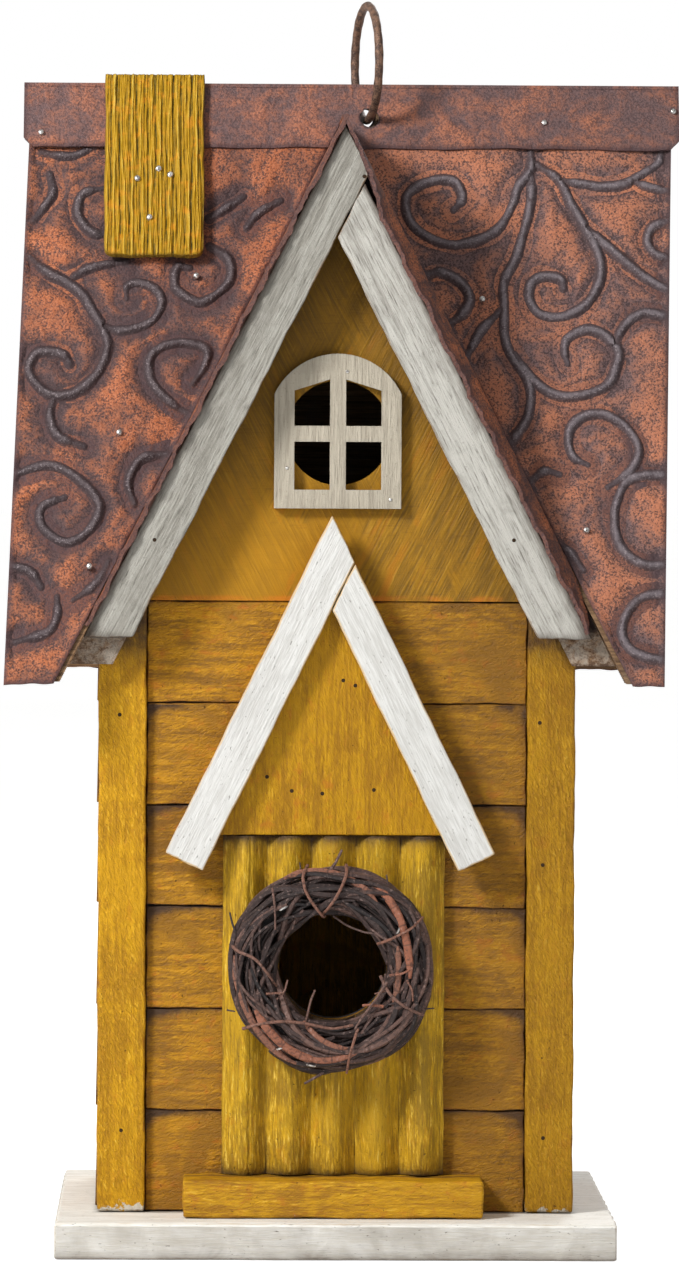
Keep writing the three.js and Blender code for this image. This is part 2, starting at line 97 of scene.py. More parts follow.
class Socket:
    """One output of a finish's nodes. Arithmetic on it adds the Math node that works it out."""

    def __init__(self, tree, output=None):
        self.tree, self.output = tree, output

    def node(self, kind, settings=None, inputs=None, out=0):
        """Adds a node: its settings first, a ramp's stops among them, then its sockets' values or links."""
        made = self.tree.nodes.new("ShaderNode" + kind)
        for key, value in (settings or {}).items():
            if key == "stops":
                ramp = made.color_ramp.elements
                for element, (place, colour) in zip((ramp[0], ramp[1]), (value[0], value[-1])):
                    element.position, element.color = place, (*colour, 1)
                for place, colour in value[1:-1]:
                    ramp.new(place).color = (*colour, 1)
            else:
                setattr(made, key, value)
        for key, value in (inputs or {}).items():
            if isinstance(value, Socket):
                self.tree.links.new(value.output, made.inputs[key])
            elif isinstance(value, tuple) and made.inputs[key].type == "RGBA":
                made.inputs[key].default_value = (*value, 1)
            else:
                made.inputs[key].default_value = value
        return Socket(self.tree, made.outputs[out] if made.outputs else None)

    def math(self, operation, *values):
        return self.node("Math", {"operation": operation}, dict(enumerate(values)))

    def __add__(self, other):
        return self.math("ADD", self, other)

    def __sub__(self, other):
        return self.math("SUBTRACT", self, other)

    def __rsub__(self, other):
        return self.math("SUBTRACT", other, self)

    def __mul__(self, other):
        return self.math("MULTIPLY", self, other)

    __radd__, __rmul__ = __add__, __mul__

    def between(self, low, high, start=0.0, end=1.0):
        """Rises smoothly from start to end as this value goes from low to high."""
        return self.node("MapRange", {"interpolation_type": "SMOOTHSTEP"},
                         {0: self, 1: low, 2: high, 3: start, 4: end})

    def mix(self, first, second):
        """The first colour where this value is 0, and the second where it is 1."""
        return self.node("Mix", {"data_type": "RGBA"}, {0: self, 6: first, 7: second}, out=2)

    def noise(self, scale, detail=3.0, rough=0.55, warp=0.0):
        """Cloudy noise, about 0.3 to 0.7, at this place. Scale is cells to the metre."""
        return self.node("TexNoise", {}, {"Vector": self, "Scale": scale, "Detail": detail,
                                          "Roughness": rough, "Distortion": warp})

    def stretched(self, turn, scale):
        """This place turned by angles in degrees and then scaled along each axis."""
        turned = self.node("Mapping", {"vector_type": "POINT"},
                           {"Vector": self, "Rotation": tuple(math.radians(a) for a in turn)})
        return turned.node("VectorMath", {"operation": "MULTIPLY"}, {0: turned, 1: scale})

    def mark(self, name):
        return self.node("Attribute", {"attribute_name": name}, out=2)


def start_finish(name):
    """A new material and its Object coordinates."""
    material = bpy.data.materials.new(name)
    material.use_nodes = True
    material.node_tree.nodes.clear()
    return material, Socket(material.node_tree).node("TexCoord", out=3)


def end_finish(material, colour, roughness, height=None, depth=0.1, metallic=0.0, gloss=0.25):
    """Closes a finish: its colour and roughness, and a height that bumps it by a depth in millimetres. Gloss
    is its specular level."""
    root = Socket(material.node_tree)
    inputs = {"Base Color": colour, "Roughness": roughness, "Metallic": metallic,
              "Specular IOR Level": gloss}
    if height is not None:
        inputs["Normal"] = root.node("Bump", {}, {"Strength": 1.0, "Distance": depth * MM, "Height": height})
    root.node("OutputMaterial", {}, {0: root.node("BsdfPrincipled", {}, inputs)})
    return material


FLOOR, FLOOR_DROP, FLOOR_GLOW = 20000.0, 0.0002, 0.62
floor_paint, place = start_finish("pale_floor")
paper = place.noise(2.0).mix(tint(244, 244, 243), tint(248, 248, 248))
shaded = place.node("BsdfPrincipled", {}, {"Base Color": paper, "Roughness": 0.9})
glow = place.node("Emission", {}, {"Color": paper, "Strength": place.node("LightPath", out=0) * FLOOR_GLOW})
place.node("OutputMaterial", {}, {0: place.node("AddShader", {}, {0: shaded, 1: glow})})
floor_x, floor_y = np.meshgrid([-FLOOR, FLOOR], [-FLOOR, FLOOR])
floor = make_piece("floor", np.stack([floor_x, floor_y, 0 * floor_x], -1), grid_faces(2, 2), floor_paint)
floor.location.z = -FLOOR_DROP

sky = bpy.data.worlds.new("soft_sky")
sky.use_nodes = True
bpy.context.scene.world = sky
sky.node_tree.nodes.clear()
SKY_LIGHT, SKY_SEEN = 0.46, 1.0
root = Socket(sky.node_tree)
strength = root.node("LightPath", out=0).between(0.0, 1.0, SKY_LIGHT, SKY_SEEN)
background = root.node("Background", {}, {"Color": (1.0, 1.0, 1.0), "Strength": strength})
root.node("OutputWorld", {}, {0: background})


def soft_lamp(name, place, size, watts):
    """A round lamp at a place in metres, turned to the middle of the house."""
    lamp = bpy.data.objects.new(name, bpy.data.lights.new(name, "AREA"))
    lamp.data.shape, lamp.data.size, lamp.data.energy = "DISK", size, watts
    lamp.location = place
    lamp.rotation_euler = (Vector(LIT_PLACE) - Vector(place)).to_track_quat("-Z", "Y").to_euler()
    bpy.context.scene.collection.objects.link(lamp)


LIT_PLACE = (0, 0, 0.2)
soft_lamp("key_lamp", (-0.60, -0.60, 0.76), 0.24, 11.5)
soft_lamp("fill_lamp", (1.6, -1.9, 0.7), 1.4, 3)
soft_lamp("back_lamp", (0.5, 1.7, 1.1), 1.0, 14)

CAMERA_PLACE, CAMERA_AIM = (-0.0401, -2.280, 0.2576), (0.00005, -0.080, 0.1951)
LENS, ROLL = 201.6, 0.3
camera = bpy.data.objects.new("camera", bpy.data.cameras.new("camera"))
camera.data.lens, camera.data.sensor_width = LENS, 36.0
camera.data.clip_start, camera.data.clip_end = 0.1, 60.0
camera.location = CAMERA_PLACE
facing = (Vector(CAMERA_AIM) - Vector(CAMERA_PLACE)).to_track_quat("-Z", "Y")
camera.rotation_mode = "QUATERNION"
camera.rotation_quaternion = facing @ Quaternion((0, 0, 1), math.radians(ROLL))
bpy.context.scene.collection.objects.link(camera)
bpy.context.scene.camera = camera
bpy.context.scene.view_settings.view_transform = "Standard"

# ---- Base board -------------------------------------------------------------------------------------
# A rectangle of softwood a little larger than the house, sawn square and brushed white. Its rims are
# rubbed, and the brush has left fine lines along the grain. The posts stand on it.


def node_box(node):
    """A solid's lowest and highest corner in millimetres."""
    low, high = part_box(node)
    return np.array(low) / MM, np.array(high) / MM


def wander(distance, seed, reach=45.0):
    """A random line between about -1 and 1 along a distance: three sine waves with random phases, added."""
    phase = np.random.default_rng(seed).uniform(0, 2 * np.pi, 3)
    return sum(height * np.sin(2 * np.pi * distance * pace / reach + p)
               for height, pace, p in zip((0.5, 0.3, 0.2), (1.0, 2.3, 5.1), phase))


def tube_faces(rows, columns):
    """The faces of rings of points, one ring to a row, with one flat face across each end."""
    last = (rows - 1) * columns
    ends = [list(range(columns)), list(range(last, last + columns))]
    return grid_faces(rows, columns, wrapped=True) + ends


def plank(name, corners, outward, thick, finish, rim=0.7, waver=0.14, seed=0, dirt=None, cell=3.0,
          taper=0.0):
    """A board: a rounded rectangle carried along the grain from one end to the other.

    The corners are those of its outer face, two at the near end and then two at the far end, and may be
    skewed for a mitre. A point across and along the board lies between them in proportion, and its depth is
    measured against the outward direction. Cell is the grid's step. Taper is how much thinner the second long
    edge is. Each edge wanders a little.
    """
    near_a, near_b, far_b, far_a = np.array(corners, float)
    length = (np.linalg.norm(far_a - near_a) + np.linalg.norm(far_b - near_b)) / 2
    grain = (far_a - near_a) / np.linalg.norm(far_a - near_a)
    width = np.linalg.norm(np.cross(near_b - near_a, grain))
    quarter = np.linspace(0, np.pi / 2, 4)
    centres = [(rim, rim), (width - rim, rim), (width - rim, thick - rim), (rim, thick - rim)]
    outline = []
    for i, (a, c) in enumerate(centres):
        angle = np.pi + i * np.pi / 2 + quarter
        outline.append(np.column_stack([a + rim * np.cos(angle), c + rim * np.sin(angle)]))
        step = np.subtract(centres[(i + 1) % 4], (a, c))
        straight = np.linalg.norm(step)
        beside = min(0.3, straight / 3)
        share = np.concatenate([[beside], np.arange(cell, straight - cell / 2, cell), [straight - beside]])
        outline.append(outline[-1][-1] + (share / straight)[:, None] * step)
    outline = np.concatenate(outline)
    middle = np.arange(rim + cell, length - rim - cell / 2, cell)
    along = np.concatenate([rim * (1 - np.cos(quarter)), [rim + 0.3], middle, [length - rim - 0.3],
                            length - rim * (1 - np.cos(quarter[::-1]))])[:, None]
    inset = np.concatenate([rim * (1 - np.sin(quarter)), np.zeros(len(middle) + 2),
                            rim * (1 - np.sin(quarter[::-1]))])[:, None]
    across = np.clip(outline[:, 0], inset, width - inset)
    depth = np.clip(outline[:, 1], inset, thick - inset)
    along = along + 0 * across
    nearest = np.sort([np.minimum(across, width - across), np.minimum(depth, thick - depth),
                       np.minimum(along, length - along)], axis=0)
    s, t = across / width, along / length
    s = s + waver / width * ((1 - s) * wander(along, seed) + s * wander(along, seed + 1))
    t = t + waver / length * ((1 - t) * wander(across, seed + 2, 15) + t * wander(across, seed + 3, 15))
    near = near_a + s[..., None] * (near_b - near_a)
    far = far_a + s[..., None] * (far_b - far_a)
    points = near + t[..., None] * (far - near)
    points = points - (depth * (1 - taper * s / thick))[..., None] * np.array(outward, float)
    marks = {"wear": np.exp(-nearest[1] / 1.1), "dirt": 0 * s if dirt is None else dirt(s, t, points)}
    return make_piece(name, points, tube_faces(*across.shape), finish, marks)


def stands_for(piece, body, slot, *nodes):
    """The piece moves with a body, and stands for those solids, if any. The slot is not used."""
    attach(piece, body)
    if nodes:
        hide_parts(*nodes)


def white_paint(name, turn, light, grey, under, streaks=0.5):
    """Opaque white brushed along the grain: fine grey lines in it, small flecks, rubbed warm rims, and dark
    grime and painted shade where a piece's marks ask for it.
    """
    material, place = start_finish(name)
    fine = place.stretched(turn, (2600, 2600, 170)).noise(1.0, 3)
    broad = place.stretched(turn, (330, 330, 26)).noise(1.0, 4)
    blotch = place.noise(70, 4, 0.6, 0.6)
    fleck = place.stretched(turn, (1500, 1500, 600)).noise(1.0, 2).between(0.66, 0.74)
    wear, dirt = place.mark("wear"), place.mark("dirt")
    colour = ((fine * 0.6 + broad * 0.4).between(0.38, 0.62)).mix(grey, light)
    colour = (blotch.between(0.52, 0.75) * streaks).mix(colour, grey)
    colour = (fleck * 0.6).mix(colour, tint(96, 88, 78))
    rubbed = (wear * 1.1 + broad * 0.9 + fine * 0.5).between(1.35, 1.62)
    colour = (rubbed * 0.75).mix(colour, under)
    # Dark grime and painted shade, where a piece's marks give them.
    grime_and_shade = (dirt * 0.9 + (blotch - 0.5) * 0.8 * dirt + (fine - 0.5) * 0.5 * dirt).between(0.15, 0.9)
    colour = (grime_and_shade * 0.85).mix(colour, tint(92, 78, 62))
    height = fine + broad * 0.8 - fleck * 0.6
    return end_finish(material, colour, fine.between(0.3, 0.7, 0.5, 0.72), height, 0.22)


base_white = white_paint("base_white", (0, 90, 0), tint(240, 238, 232), tint(214, 209, 198),
                         tint(176, 152, 116))
low, high = node_box("base_board")
base_corners = [(low[0], low[1], high[2]), (low[0], high[1], high[2]), (high[0], high[1], high[2]),
                (high[0], low[1], high[2])]
HOUSE_HALF, HOUSE_FRONT, HOUSE_BACK = 75, -50, 62
TOP_FROM, SIDES_TO = 11, 10.6


def base_dirt_and_shade(s, t, points):
    """Grime and painted shade on the top round the house's foot, and painted shade along the lower edges and
    over the sides, which are darker than the top.
    """
    x, y, z = np.moveaxis(points, -1, 0)
    foot = np.maximum(np.abs(x) - HOUSE_HALF, np.maximum(HOUSE_FRONT - y, y - HOUSE_BACK))
    top = 0.8 * np.exp(-np.maximum(foot, 0) / 1.5) * (z > TOP_FROM)
    return top + 0.35 * np.exp(-z / 1.5) + 0.52 * (z < SIDES_TO)


piece = plank("base", base_corners, (0, 0, 1), high[2] - low[2], base_white, rim=0.9, waver=0.3, seed=3,
              dirt=base_dirt_and_shade, cell=2.5)
stands_for(piece, "house", "white_paint", "base_board")

# ---- Corner posts -----------------------------------------------------------------------------------
# Four square sticks, nailed through their faces and brushed ochre over orange and dark undercoats. The
# paint is thick, with short raised strokes, and the wood shows dark where the corners are rubbed.


def ochre_paint(name, turn, golden, brown, pale, cross=0.25, brown_share=0.5, orange_share=0.25, depth=0.25,
                right_side_shade=0.0):
    """Ochre dragged along the grain with a full brush: golden and brown streaks, thick short strokes with
    pale tops, orange and dark patches where undercoats show, small pits, chips down to the priming, and dark
    grime and painted shade where a piece's marks ask for it. Cross is the share of strokes laid askew. The
    last argument darkens the house's right-hand side towards brown: painted shade where the light falls off."""
    material, place = start_finish(name)
    fine = place.stretched(turn, (1500, 1500, 190)).noise(1.0, 3, 0.6)
    broad = place.stretched(turn, (380, 380, 36)).noise(1.0, 4, 0.6)
    askew = place.stretched((turn[0], turn[1] + 24, turn[2]), (1300, 1300, 420))
    hatch = askew.noise(1.0, 3, 0.65, 1.2)
    blotch = place.noise(34, 4, 0.6, 0.8)
    small = place.noise(210, 4, 0.65, 0.4)
    pit = place.noise(900, 2).between(0.70, 0.76)
    wear, dirt = place.mark("wear"), place.mark("dirt")
    lay = fine * (1 - cross) + hatch * cross
    tone = (lay * 0.4 + broad * 0.3 + blotch * 0.3).between(0.42, 0.58)
    colour = tone.mix(brown, golden)
    colour = (lay.between(0.54, 0.68) * broad.between(0.35, 0.6) * 0.65).mix(colour, pale)
    colour = (blotch.between(0.50, 0.66) * brown_share).mix(colour, brown)
    rust = (small * 0.6 + broad * 0.4).between(0.53, 0.66) * orange_share
    colour = rust.mix(colour, tint(176, 98, 22))
    colour = (lay.between(0.36, 0.22) * 0.55).mix(colour, tint(74, 50, 16))
    colour = (pit * 0.7).mix(colour, tint(60, 40, 20))
    chipped = (place.mark("chips") * 0.30 + small + wear * 0.1).between(0.78, 0.84)
    colour = chipped.mix(colour, tint(214, 206, 190))
    rubbed = (wear + small * 0.9 + fine * 0.4).between(1.30, 1.60)
    colour = (rubbed * 0.7).mix(colour, tint(120, 74, 26))
    # Dark grime and painted shade, where a piece's marks give them.
    grime_and_shade = (dirt + (small - 0.5) * 1.1 * dirt + (fine - 0.5) * 0.7 * dirt).between(0.12, 0.95)
    colour = (grime_and_shade * 0.93).mix(colour, tint(58, 42, 34))
    # Painted shade: the house's right-hand side is darkened towards brown, as the light falls off.
    if right_side_shade:
        across = place.node("SeparateXYZ", {}, {0: place})
        colour = (across.between(-0.01, 0.07) * right_side_shade).mix(colour, tint(84, 54, 14))
    height = fine * 0.5 + hatch * (0.5 + cross) + small * 0.5 - pit * 0.8
    return end_finish(material, colour, lay.between(0.3, 0.7, 0.42, 0.66), height, depth * 2.4)


post_ochre = ochre_paint("post_ochre", (0, 0, 0), tint(218, 162, 16), tint(172, 122, 14), tint(232, 192, 84),
                         cross=0.55, brown_share=0.3, orange_share=0.35, depth=0.36, right_side_shade=0.36)
POST_FOOT, POST_TOP, EAVE_SHADE = 11.8, 203.0, 178


def post_shade_and_dirt(s, t, points):
    """Painted shade under the eaves, and a little darker at the foot."""
    z = points[..., 2]
    return 0.75 * np.clip((z - EAVE_SHADE) / 14, 0, 1) + 0.3 * np.exp(-(z - POST_FOOT) / 3)


for name in ("front_left_post", "front_right_post", "back_left_post", "back_right_post"):
    low, high = node_box(name)
    face, away = (low[1], -1) if name.startswith("front") else (high[1], 1)
    corners = [(low[0], face, low[2]), (high[0], face, low[2]), (high[0], face, POST_TOP),
               (low[0], face, POST_TOP)]
    piece = plank(f"{name}_painted", corners, (0, away, 0), high[1] - low[1], post_ochre, rim=0.8,
                  waver=0.25, seed=len(name) * 7 + int(low[0]), dirt=post_shade_and_dirt, cell=2.5)
    places = np.empty(3 * len(piece.data.vertices), np.float32)
    piece.data.vertices.foreach_get("co", places)
    above_foot = places[2::3].astype(float) / MM - low[2]
    chips = piece.data.attributes.new("chips", "FLOAT", "POINT")
    chips.data.foreach_set("value", np.exp(-above_foot / 7).astype(np.float32))
    stands_for(piece, "house", "yellow_paint", name)

# ---- Siding -----------------------------------------------------------------------------------------
# Six thin boards on each side lap down the walls, thicker at the foot, so that each one's lower edge throws
# a dark line. Grime and painted shade darken the boards under the laps and in the corners by the posts.

SIDING_TINTS = (tint(196, 138, 12), tint(132, 90, 22), tint(206, 162, 66))
siding_ochre = ochre_paint("siding_ochre", (0, 90, 0), *SIDING_TINTS, cross=0.5, brown_share=0.75,
                           orange_share=0.6, depth=0.26, right_side_shade=0.40)
side_ochre = ochre_paint("side_ochre", (90, 0, 0), *SIDING_TINTS, cross=0.55, brown_share=0.75,
                         orange_share=0.6, depth=0.22)
ENTRANCE = np.array([-1.0, 89.5])
ENTRANCE_RADIUS = 17.0
ROWS, COURSE, FRONT_LENGTH, TOP_COURSE, SIDING_LAP = 6, 32, 119.4, 171.5, 0.6
HANDS = (("left", -1), ("right", 1))


def siding_dirt_and_shade(s, t, points):
    """Grime and painted shade under the next board's lap and in the corners by the posts. The top course has
    hardly any.
    """
    end = np.minimum(t, 1 - t) * FRONT_LENGTH
    below = (1 - s) * COURSE
    dirt = 0.8 * np.exp(-below / 1.1) + 0.5 * np.exp(-end / 1.3)
    dirt = dirt + 1.1 * np.exp(-below / 5) * np.exp(-end / 8)
    return dirt * np.where(points[..., 2] > TOP_COURSE, 0.35, 1.0)


def bore(piece, middle, direction, radius):
    """Drills a round hole through a piece with a rod, and keeps the result as its mesh. The rod is a circle
    of 48 points carried along the direction."""
    angle = np.linspace(0, 2 * np.pi, 48, endpoint=False)
    direction = Vector(direction).normalized()
    turn = np.array(direction.to_track_quat("Z", "Y").to_matrix())
    ring = radius * np.stack([np.cos(angle), np.sin(angle), 0 * angle], -1) @ turn.T
    reach = 60.0 * np.array(direction)
    points = np.stack([middle + ring - reach, middle + ring + reach])
    rod = make_piece("drill_rod", points, tube_faces(2, 48), piece.data.materials[0])
    drilling = piece.modifiers.new("drilling", "BOOLEAN")
    drilling.operation, drilling.solver, drilling.object = "DIFFERENCE", "EXACT", rod
    drilled = bpy.data.meshes.new_from_object(piece.evaluated_get(bpy.context.evaluated_depsgraph_get()))
    piece.modifiers.clear()
    piece.data = drilled
    bpy.data.objects.remove(rod)


for row in range(1, ROWS + 1):
    low, high = node_box(f"front_board_{row}")
    shift = 0.35 * wander(row * 17.0, 5)
    y0, y1 = low[1], low[1] + SIDING_LAP
    corners = [(low[0], y0, low[2] + shift), (low[0], y1, high[2]), (high[0], y1, high[2]),
               (high[0], y0, low[2] - shift)]
    piece = plank(f"front_siding_{row}", corners, (0, -1, 0), high[1] - low[1], siding_ochre, rim=0.3,
                  waver=0.3, seed=row * 11, dirt=siding_dirt_and_shade, cell=2.2, taper=SIDING_LAP)
    if abs(ENTRANCE[1] - (low[2] + high[2]) / 2) < ENTRANCE_RADIUS + (high[2] - low[2]) / 2:
        bore(piece, np.array([ENTRANCE[0], low[1], ENTRANCE[1]]), (0, 1, 0), ENTRANCE_RADIUS)
    stands_for(piece, "house", "yellow_paint", f"front_board_{row}")

    for hand, side in HANDS:
        low, high = node_box(f"{hand}_board_{row}")
        x0 = low[0] if side < 0 else high[0]
        x1 = x0 - side * SIDING_LAP
        corners = [(x0, low[1], low[2] + shift), (x1, low[1], high[2]), (x1, high[1], high[2]),
                   (x0, high[1], low[2] - shift)]
        piece = plank(f"{hand}_siding_{row}", corners, (side, 0, 0), high[0] - low[0], side_ochre, rim=0.3,
                      waver=0.3, seed=row * 11 + 50 + side, dirt=siding_dirt_and_shade, cell=3.0, taper=SIDING_LAP)
        stands_for(piece, "house", "yellow_paint", f"{hand}_board_{row}")

# ---- Walls ------------------------------------------------------------------------------------------
# The thick gable wall above the front siding is brushed down both slopes; the thin boards above the side
# siding and the back wall are brushed up and down. The inner walls and the roof boards are bare softwood.


def finish_node(node, finish):
    """Gives one of the solids its finish."""
    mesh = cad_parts[node].data
    mesh.materials.clear()
    mesh.materials.append(finish)


def bare_timber(name, turn, light, dark, painted=0.0):
    """Unpainted softwood: growth lines along the grain, darker late wood and grey weathering, with smears of
    old white paint where asked. Where asked, it is also painted nearly black above about 195 mm as painted
    shade, and darker below about 184 mm."""
    material, place = start_finish(name)
    grain = place.stretched(turn, (900, 900, 22)).noise(1.0, 4, 0.6, 0.8)
    pores = place.stretched(turn, (3200, 3200, 160)).noise(1.0, 2)
    grey = place.noise(60, 4, 0.6)
    colour = (grain * 0.75 + pores * 0.25).between(0.36, 0.62).mix(dark, light)
    colour = (grey.between(0.48, 0.68) * 0.5).mix(colour, tint(112, 100, 88))
    colour = (pores.between(0.60, 0.72) * 0.6).mix(colour, tint(52, 38, 28))
    if painted:
        smear = place.noise(230, 4, 0.7, 0.5)
        colour = ((smear * 0.7 + grain * 0.3).between(0.38, 0.62) * painted).mix(colour, tint(172, 166, 154))
        # Painted shade: nearly black above about 195 mm, where the boards lie between the bargeboards and the
        # metal; darker brown below about 184 mm.
        height = place.node("SeparateXYZ", {}, {0: place}, out=2) * 1000
        colour = (height + (smear - 0.5) * 8).between(193, 197).mix(colour, tint(46, 34, 32))
        colour = (height + (smear - 0.5) * 5).between(185.5, 183.5).mix(colour, tint(70, 52, 40))
    return end_finish(material, colour, 0.8, grain + pores * 0.6, 0.3)


inner_timber = bare_timber("inner_timber", (0, 0, 0), tint(96, 96, 100), tint(74, 74, 78))
roof_timber = bare_timber("roof_timber", (0, 90, 0), tint(138, 108, 78), tint(84, 62, 44))
gable_timber = bare_timber("gable_timber", (90, 0, 0), tint(142, 112, 84), tint(86, 64, 48), painted=0.6)
for node in ("front_wall", "left_wall", "right_wall"):
    finish_node(node, inner_timber)
for node in ("roof_board_front_left", "roof_board_front_right", "roof_board_back"):
    finish_node(node, roof_timber)
for node in ("gable_board_left", "gable_board_right"):
    finish_node(node, gable_timber)


WALL_PEAK, WALL_SLOPE, WALL_MIDDLE, WALL_FOOT = 323.5, 1.978, 1.5, 204.8


def gable_ochre():
    """Ochre glazed with brown, dragged down both slopes from the middle, with painted shade under the
    bargeboards and painted light at the lower left.
    """
    material, place = start_finish("gable_ochre")
    x, y, z = (place.node("SeparateXYZ", {}, {0: place}, out=i) for i in range(3))
    blotch = place.noise(45, 4, 0.6, 0.6)
    righter = (x * 22 + (blotch - 0.5) * 5).between(-0.5, 0.5)
    strokes = []
    for scale in ((1300, 1300, 80), (190, 190, 14)):
        left, right = (place.stretched((0, turn, 0), scale).noise(1.0, 4, 0.6) for turn in (27, -27))
        strokes.append(left * (1 - righter) + right * righter)
    drag, broad = strokes
    hatch = place.stretched((0, 90, 0), (1300, 1300, 120)).noise(1.0, 3)
    tone = (drag * 0.4 + broad * 0.3 + blotch * 0.3).between(0.40, 0.60)
    colour = tone.mix(tint(112, 80, 14), tint(162, 116, 14))
    colour = (drag.between(0.56, 0.70) * 0.35).mix(colour, tint(178, 142, 66))
    colour = (broad.between(0.52, 0.64) * blotch.between(0.45, 0.6) * 0.6).mix(colour, tint(172, 102, 8))
    colour = (hatch.between(0.42, 0.30) * 0.3).mix(colour, tint(96, 62, 18))
    # Painted shade of the bargeboards within a few centimetres of the slopes and at the peak, weaker low
    # down.
    under = (z * 1000 - (WALL_PEAK - WALL_SLOPE * x.math("ABSOLUTE", x * 1000 - WALL_MIDDLE))) * -0.45
    close = (under * -1 + (blotch - 0.5) * 14).between(-22, 4)
    height = z * 1000
    # Painted light: the lower left of the wall is lightened towards golden.
    colour = (height.between(275, 212) * (1 - righter) * 0.5).mix(colour, tint(186, 130, 14))
    colour = (close * height.between(212, 295, 0.28, 0.66)).mix(colour, tint(80, 55, 12))
    seam = (height.math("ABSOLUTE", height - WALL_FOOT) * -1).between(-1.8, -0.4)
    colour = (seam * blotch.between(0.4, 0.55) * 0.6).mix(colour, tint(200, 112, 22))
    return end_finish(material, colour, drag.between(0.3, 0.7, 0.5, 0.7), drag + hatch * 0.4, 0.4)


finish_node("gable_wall", gable_ochre())
back_ochre = ochre_paint("back_ochre", (0, 0, 0), tint(194, 140, 14), tint(132, 92, 20), tint(206, 164, 70),
                         cross=0.3, brown_share=0.7, orange_share=0.4, depth=0.22)
for node in ("back_wall", "left_gable_board", "right_gable_board"):
    finish_node(node, back_ochre)

# Thin fillets close the side boards' ends against the front and the back wall.
FILLET_FRONT, FILLET_BACK, FILLET_TOP, FILLET_LAP = -37.3, 50.0, 236.0, 0.2
for hand, side in HANDS:
    low, high = node_box(f"{hand}_gable_board")
    x0 = low[0] if side < 0 else high[0]
    gaps = {"front": (FILLET_FRONT, low[1] + FILLET_LAP), "back": (high[1] - FILLET_LAP, FILLET_BACK)}
    for end, (y0, y1) in gaps.items():
        corners = [(x0, y0, low[2]), (x0, y1, low[2]), (x0, y1, FILLET_TOP), (x0, y0, FILLET_TOP)]
        piece = plank(f"{hand}_{end}_fillet", corners, (side, 0, 0), high[0] - low[0], back_ochre, rim=0.3,
                      waver=0.1)
        stands_for(piece, "house", "yellow_paint")

# ---- Embossed roof metal ----------------------------------------------------------------------------
# Thin tin pressed from behind with vine scrolls, painted rust-brown and rubbed dark over the raised lines.
# One sheet covers each side of the gable and one the back; all end under the ridge cap.

MIDDLE_Y, EAVE, RIDGE = 6.0, 179.1, 366.1
MAIN_TAN = 187.0 / 78.0
MAIN_TURN = math.atan(MAIN_TAN)
LEAN = 6.0 / 187.0
ROOF_ENDS = (-104.3, 101.7)
GABLE_X, GABLE_PEAK, GABLE_TAN = 1.5, 357.0, 172.5 / 87.2
GABLE_TURN = math.atan(GABLE_TAN)
SHEET_THICK = 1.2
SHEET_TOP = 352.5
GAP = 0.3


def main_y(z, side):
    """Where the main roof's surface stands at a height, in front for side -1 and behind for side 1."""
    return MIDDLE_Y + side * (RIDGE - z) / MAIN_TAN


def smooth_path(points, step=0.5):
    """A smooth curve through a few points, by the Catmull-Rom rule, with points a step apart."""
    p = np.array(points, float)
    p = np.concatenate([[2 * p[0] - p[1]], p, [2 * p[-1] - p[-2]]])
    a, b, c, d = (p[i:len(p) - 3 + i, None] for i in range(4))
    most = np.linalg.norm(np.diff(p, axis=0), axis=1).max()
    t = np.linspace(0, 1, max(4, int(most / step)), endpoint=False)[None, :, None]
    curve = 2 * b + (c - a) * t + (2 * a - 5 * b + 4 * c - d) * t ** 2 + (3 * b - a - 3 * c + d) * t ** 3
    curve = 0.5 * curve
    return np.concatenate([curve.reshape(-1, p.shape[1]), p[-2:-1]])


# The scrolls as (x, z) down the front of the right-hand and the left-hand sheet.
RIGHT_SCROLLS = [
    [(37, 329), (40, 333), (38, 338), (33, 339), (26, 337), (22, 333), (23, 326), (28, 321), (37, 318),
     (46, 320), (52, 324), (56, 331), (58, 337), (62, 342), (62, 349)],
    [(62, 342), (62, 333), (60, 324), (57, 314), (53, 306), (53, 299), (53, 289), (55, 283), (60, 275),
     (61, 269), (60, 263), (57, 258), (54, 254)],
    [(52, 297), (46, 291), (43, 286), (41, 282)],
    [(64, 344), (71, 339), (75, 331), (79, 324), (83, 316), (84, 309), (82, 303), (78, 298), (71, 295),
     (64, 296), (61, 301), (62, 306), (66, 308), (71, 307), (72, 304)],
    [(79, 324), (86, 318), (94, 311), (101, 306), (109, 302)],
    [(71, 339), (78, 338), (85, 337), (92, 338), (99, 342), (103, 345), (104, 350)],
    [(95, 339), (100, 337), (109, 335)],
    [(109, 327), (101, 324), (99, 319), (102, 315), (109, 313)],
    [(28, 308), (33, 309), (39, 306), (42, 301), (40, 296), (35, 292)],
    [(73, 280), (72, 284), (73, 288), (79, 291), (85, 289), (89, 284), (88, 278), (85, 273), (77, 270),
     (70, 270), (64, 273), (60, 277), (56, 283)],
    [(88, 286), (91, 292), (96, 296), (101, 296), (109, 294)],
    [(79, 248), (74, 251), (73, 258), (77, 263), (84, 264), (91, 260), (95, 253), (92, 246), (85, 241)],
    [(109, 245), (93, 244), (88, 237), (87, 230), (89, 222), (96, 217), (109, 217)],
    [(109, 208), (96, 207), (90, 201), (89, 194), (94, 189), (109, 186)],
    [(66, 222), (72, 221), (77, 215)],
    [(60, 242), (65, 246), (70, 245)],
]
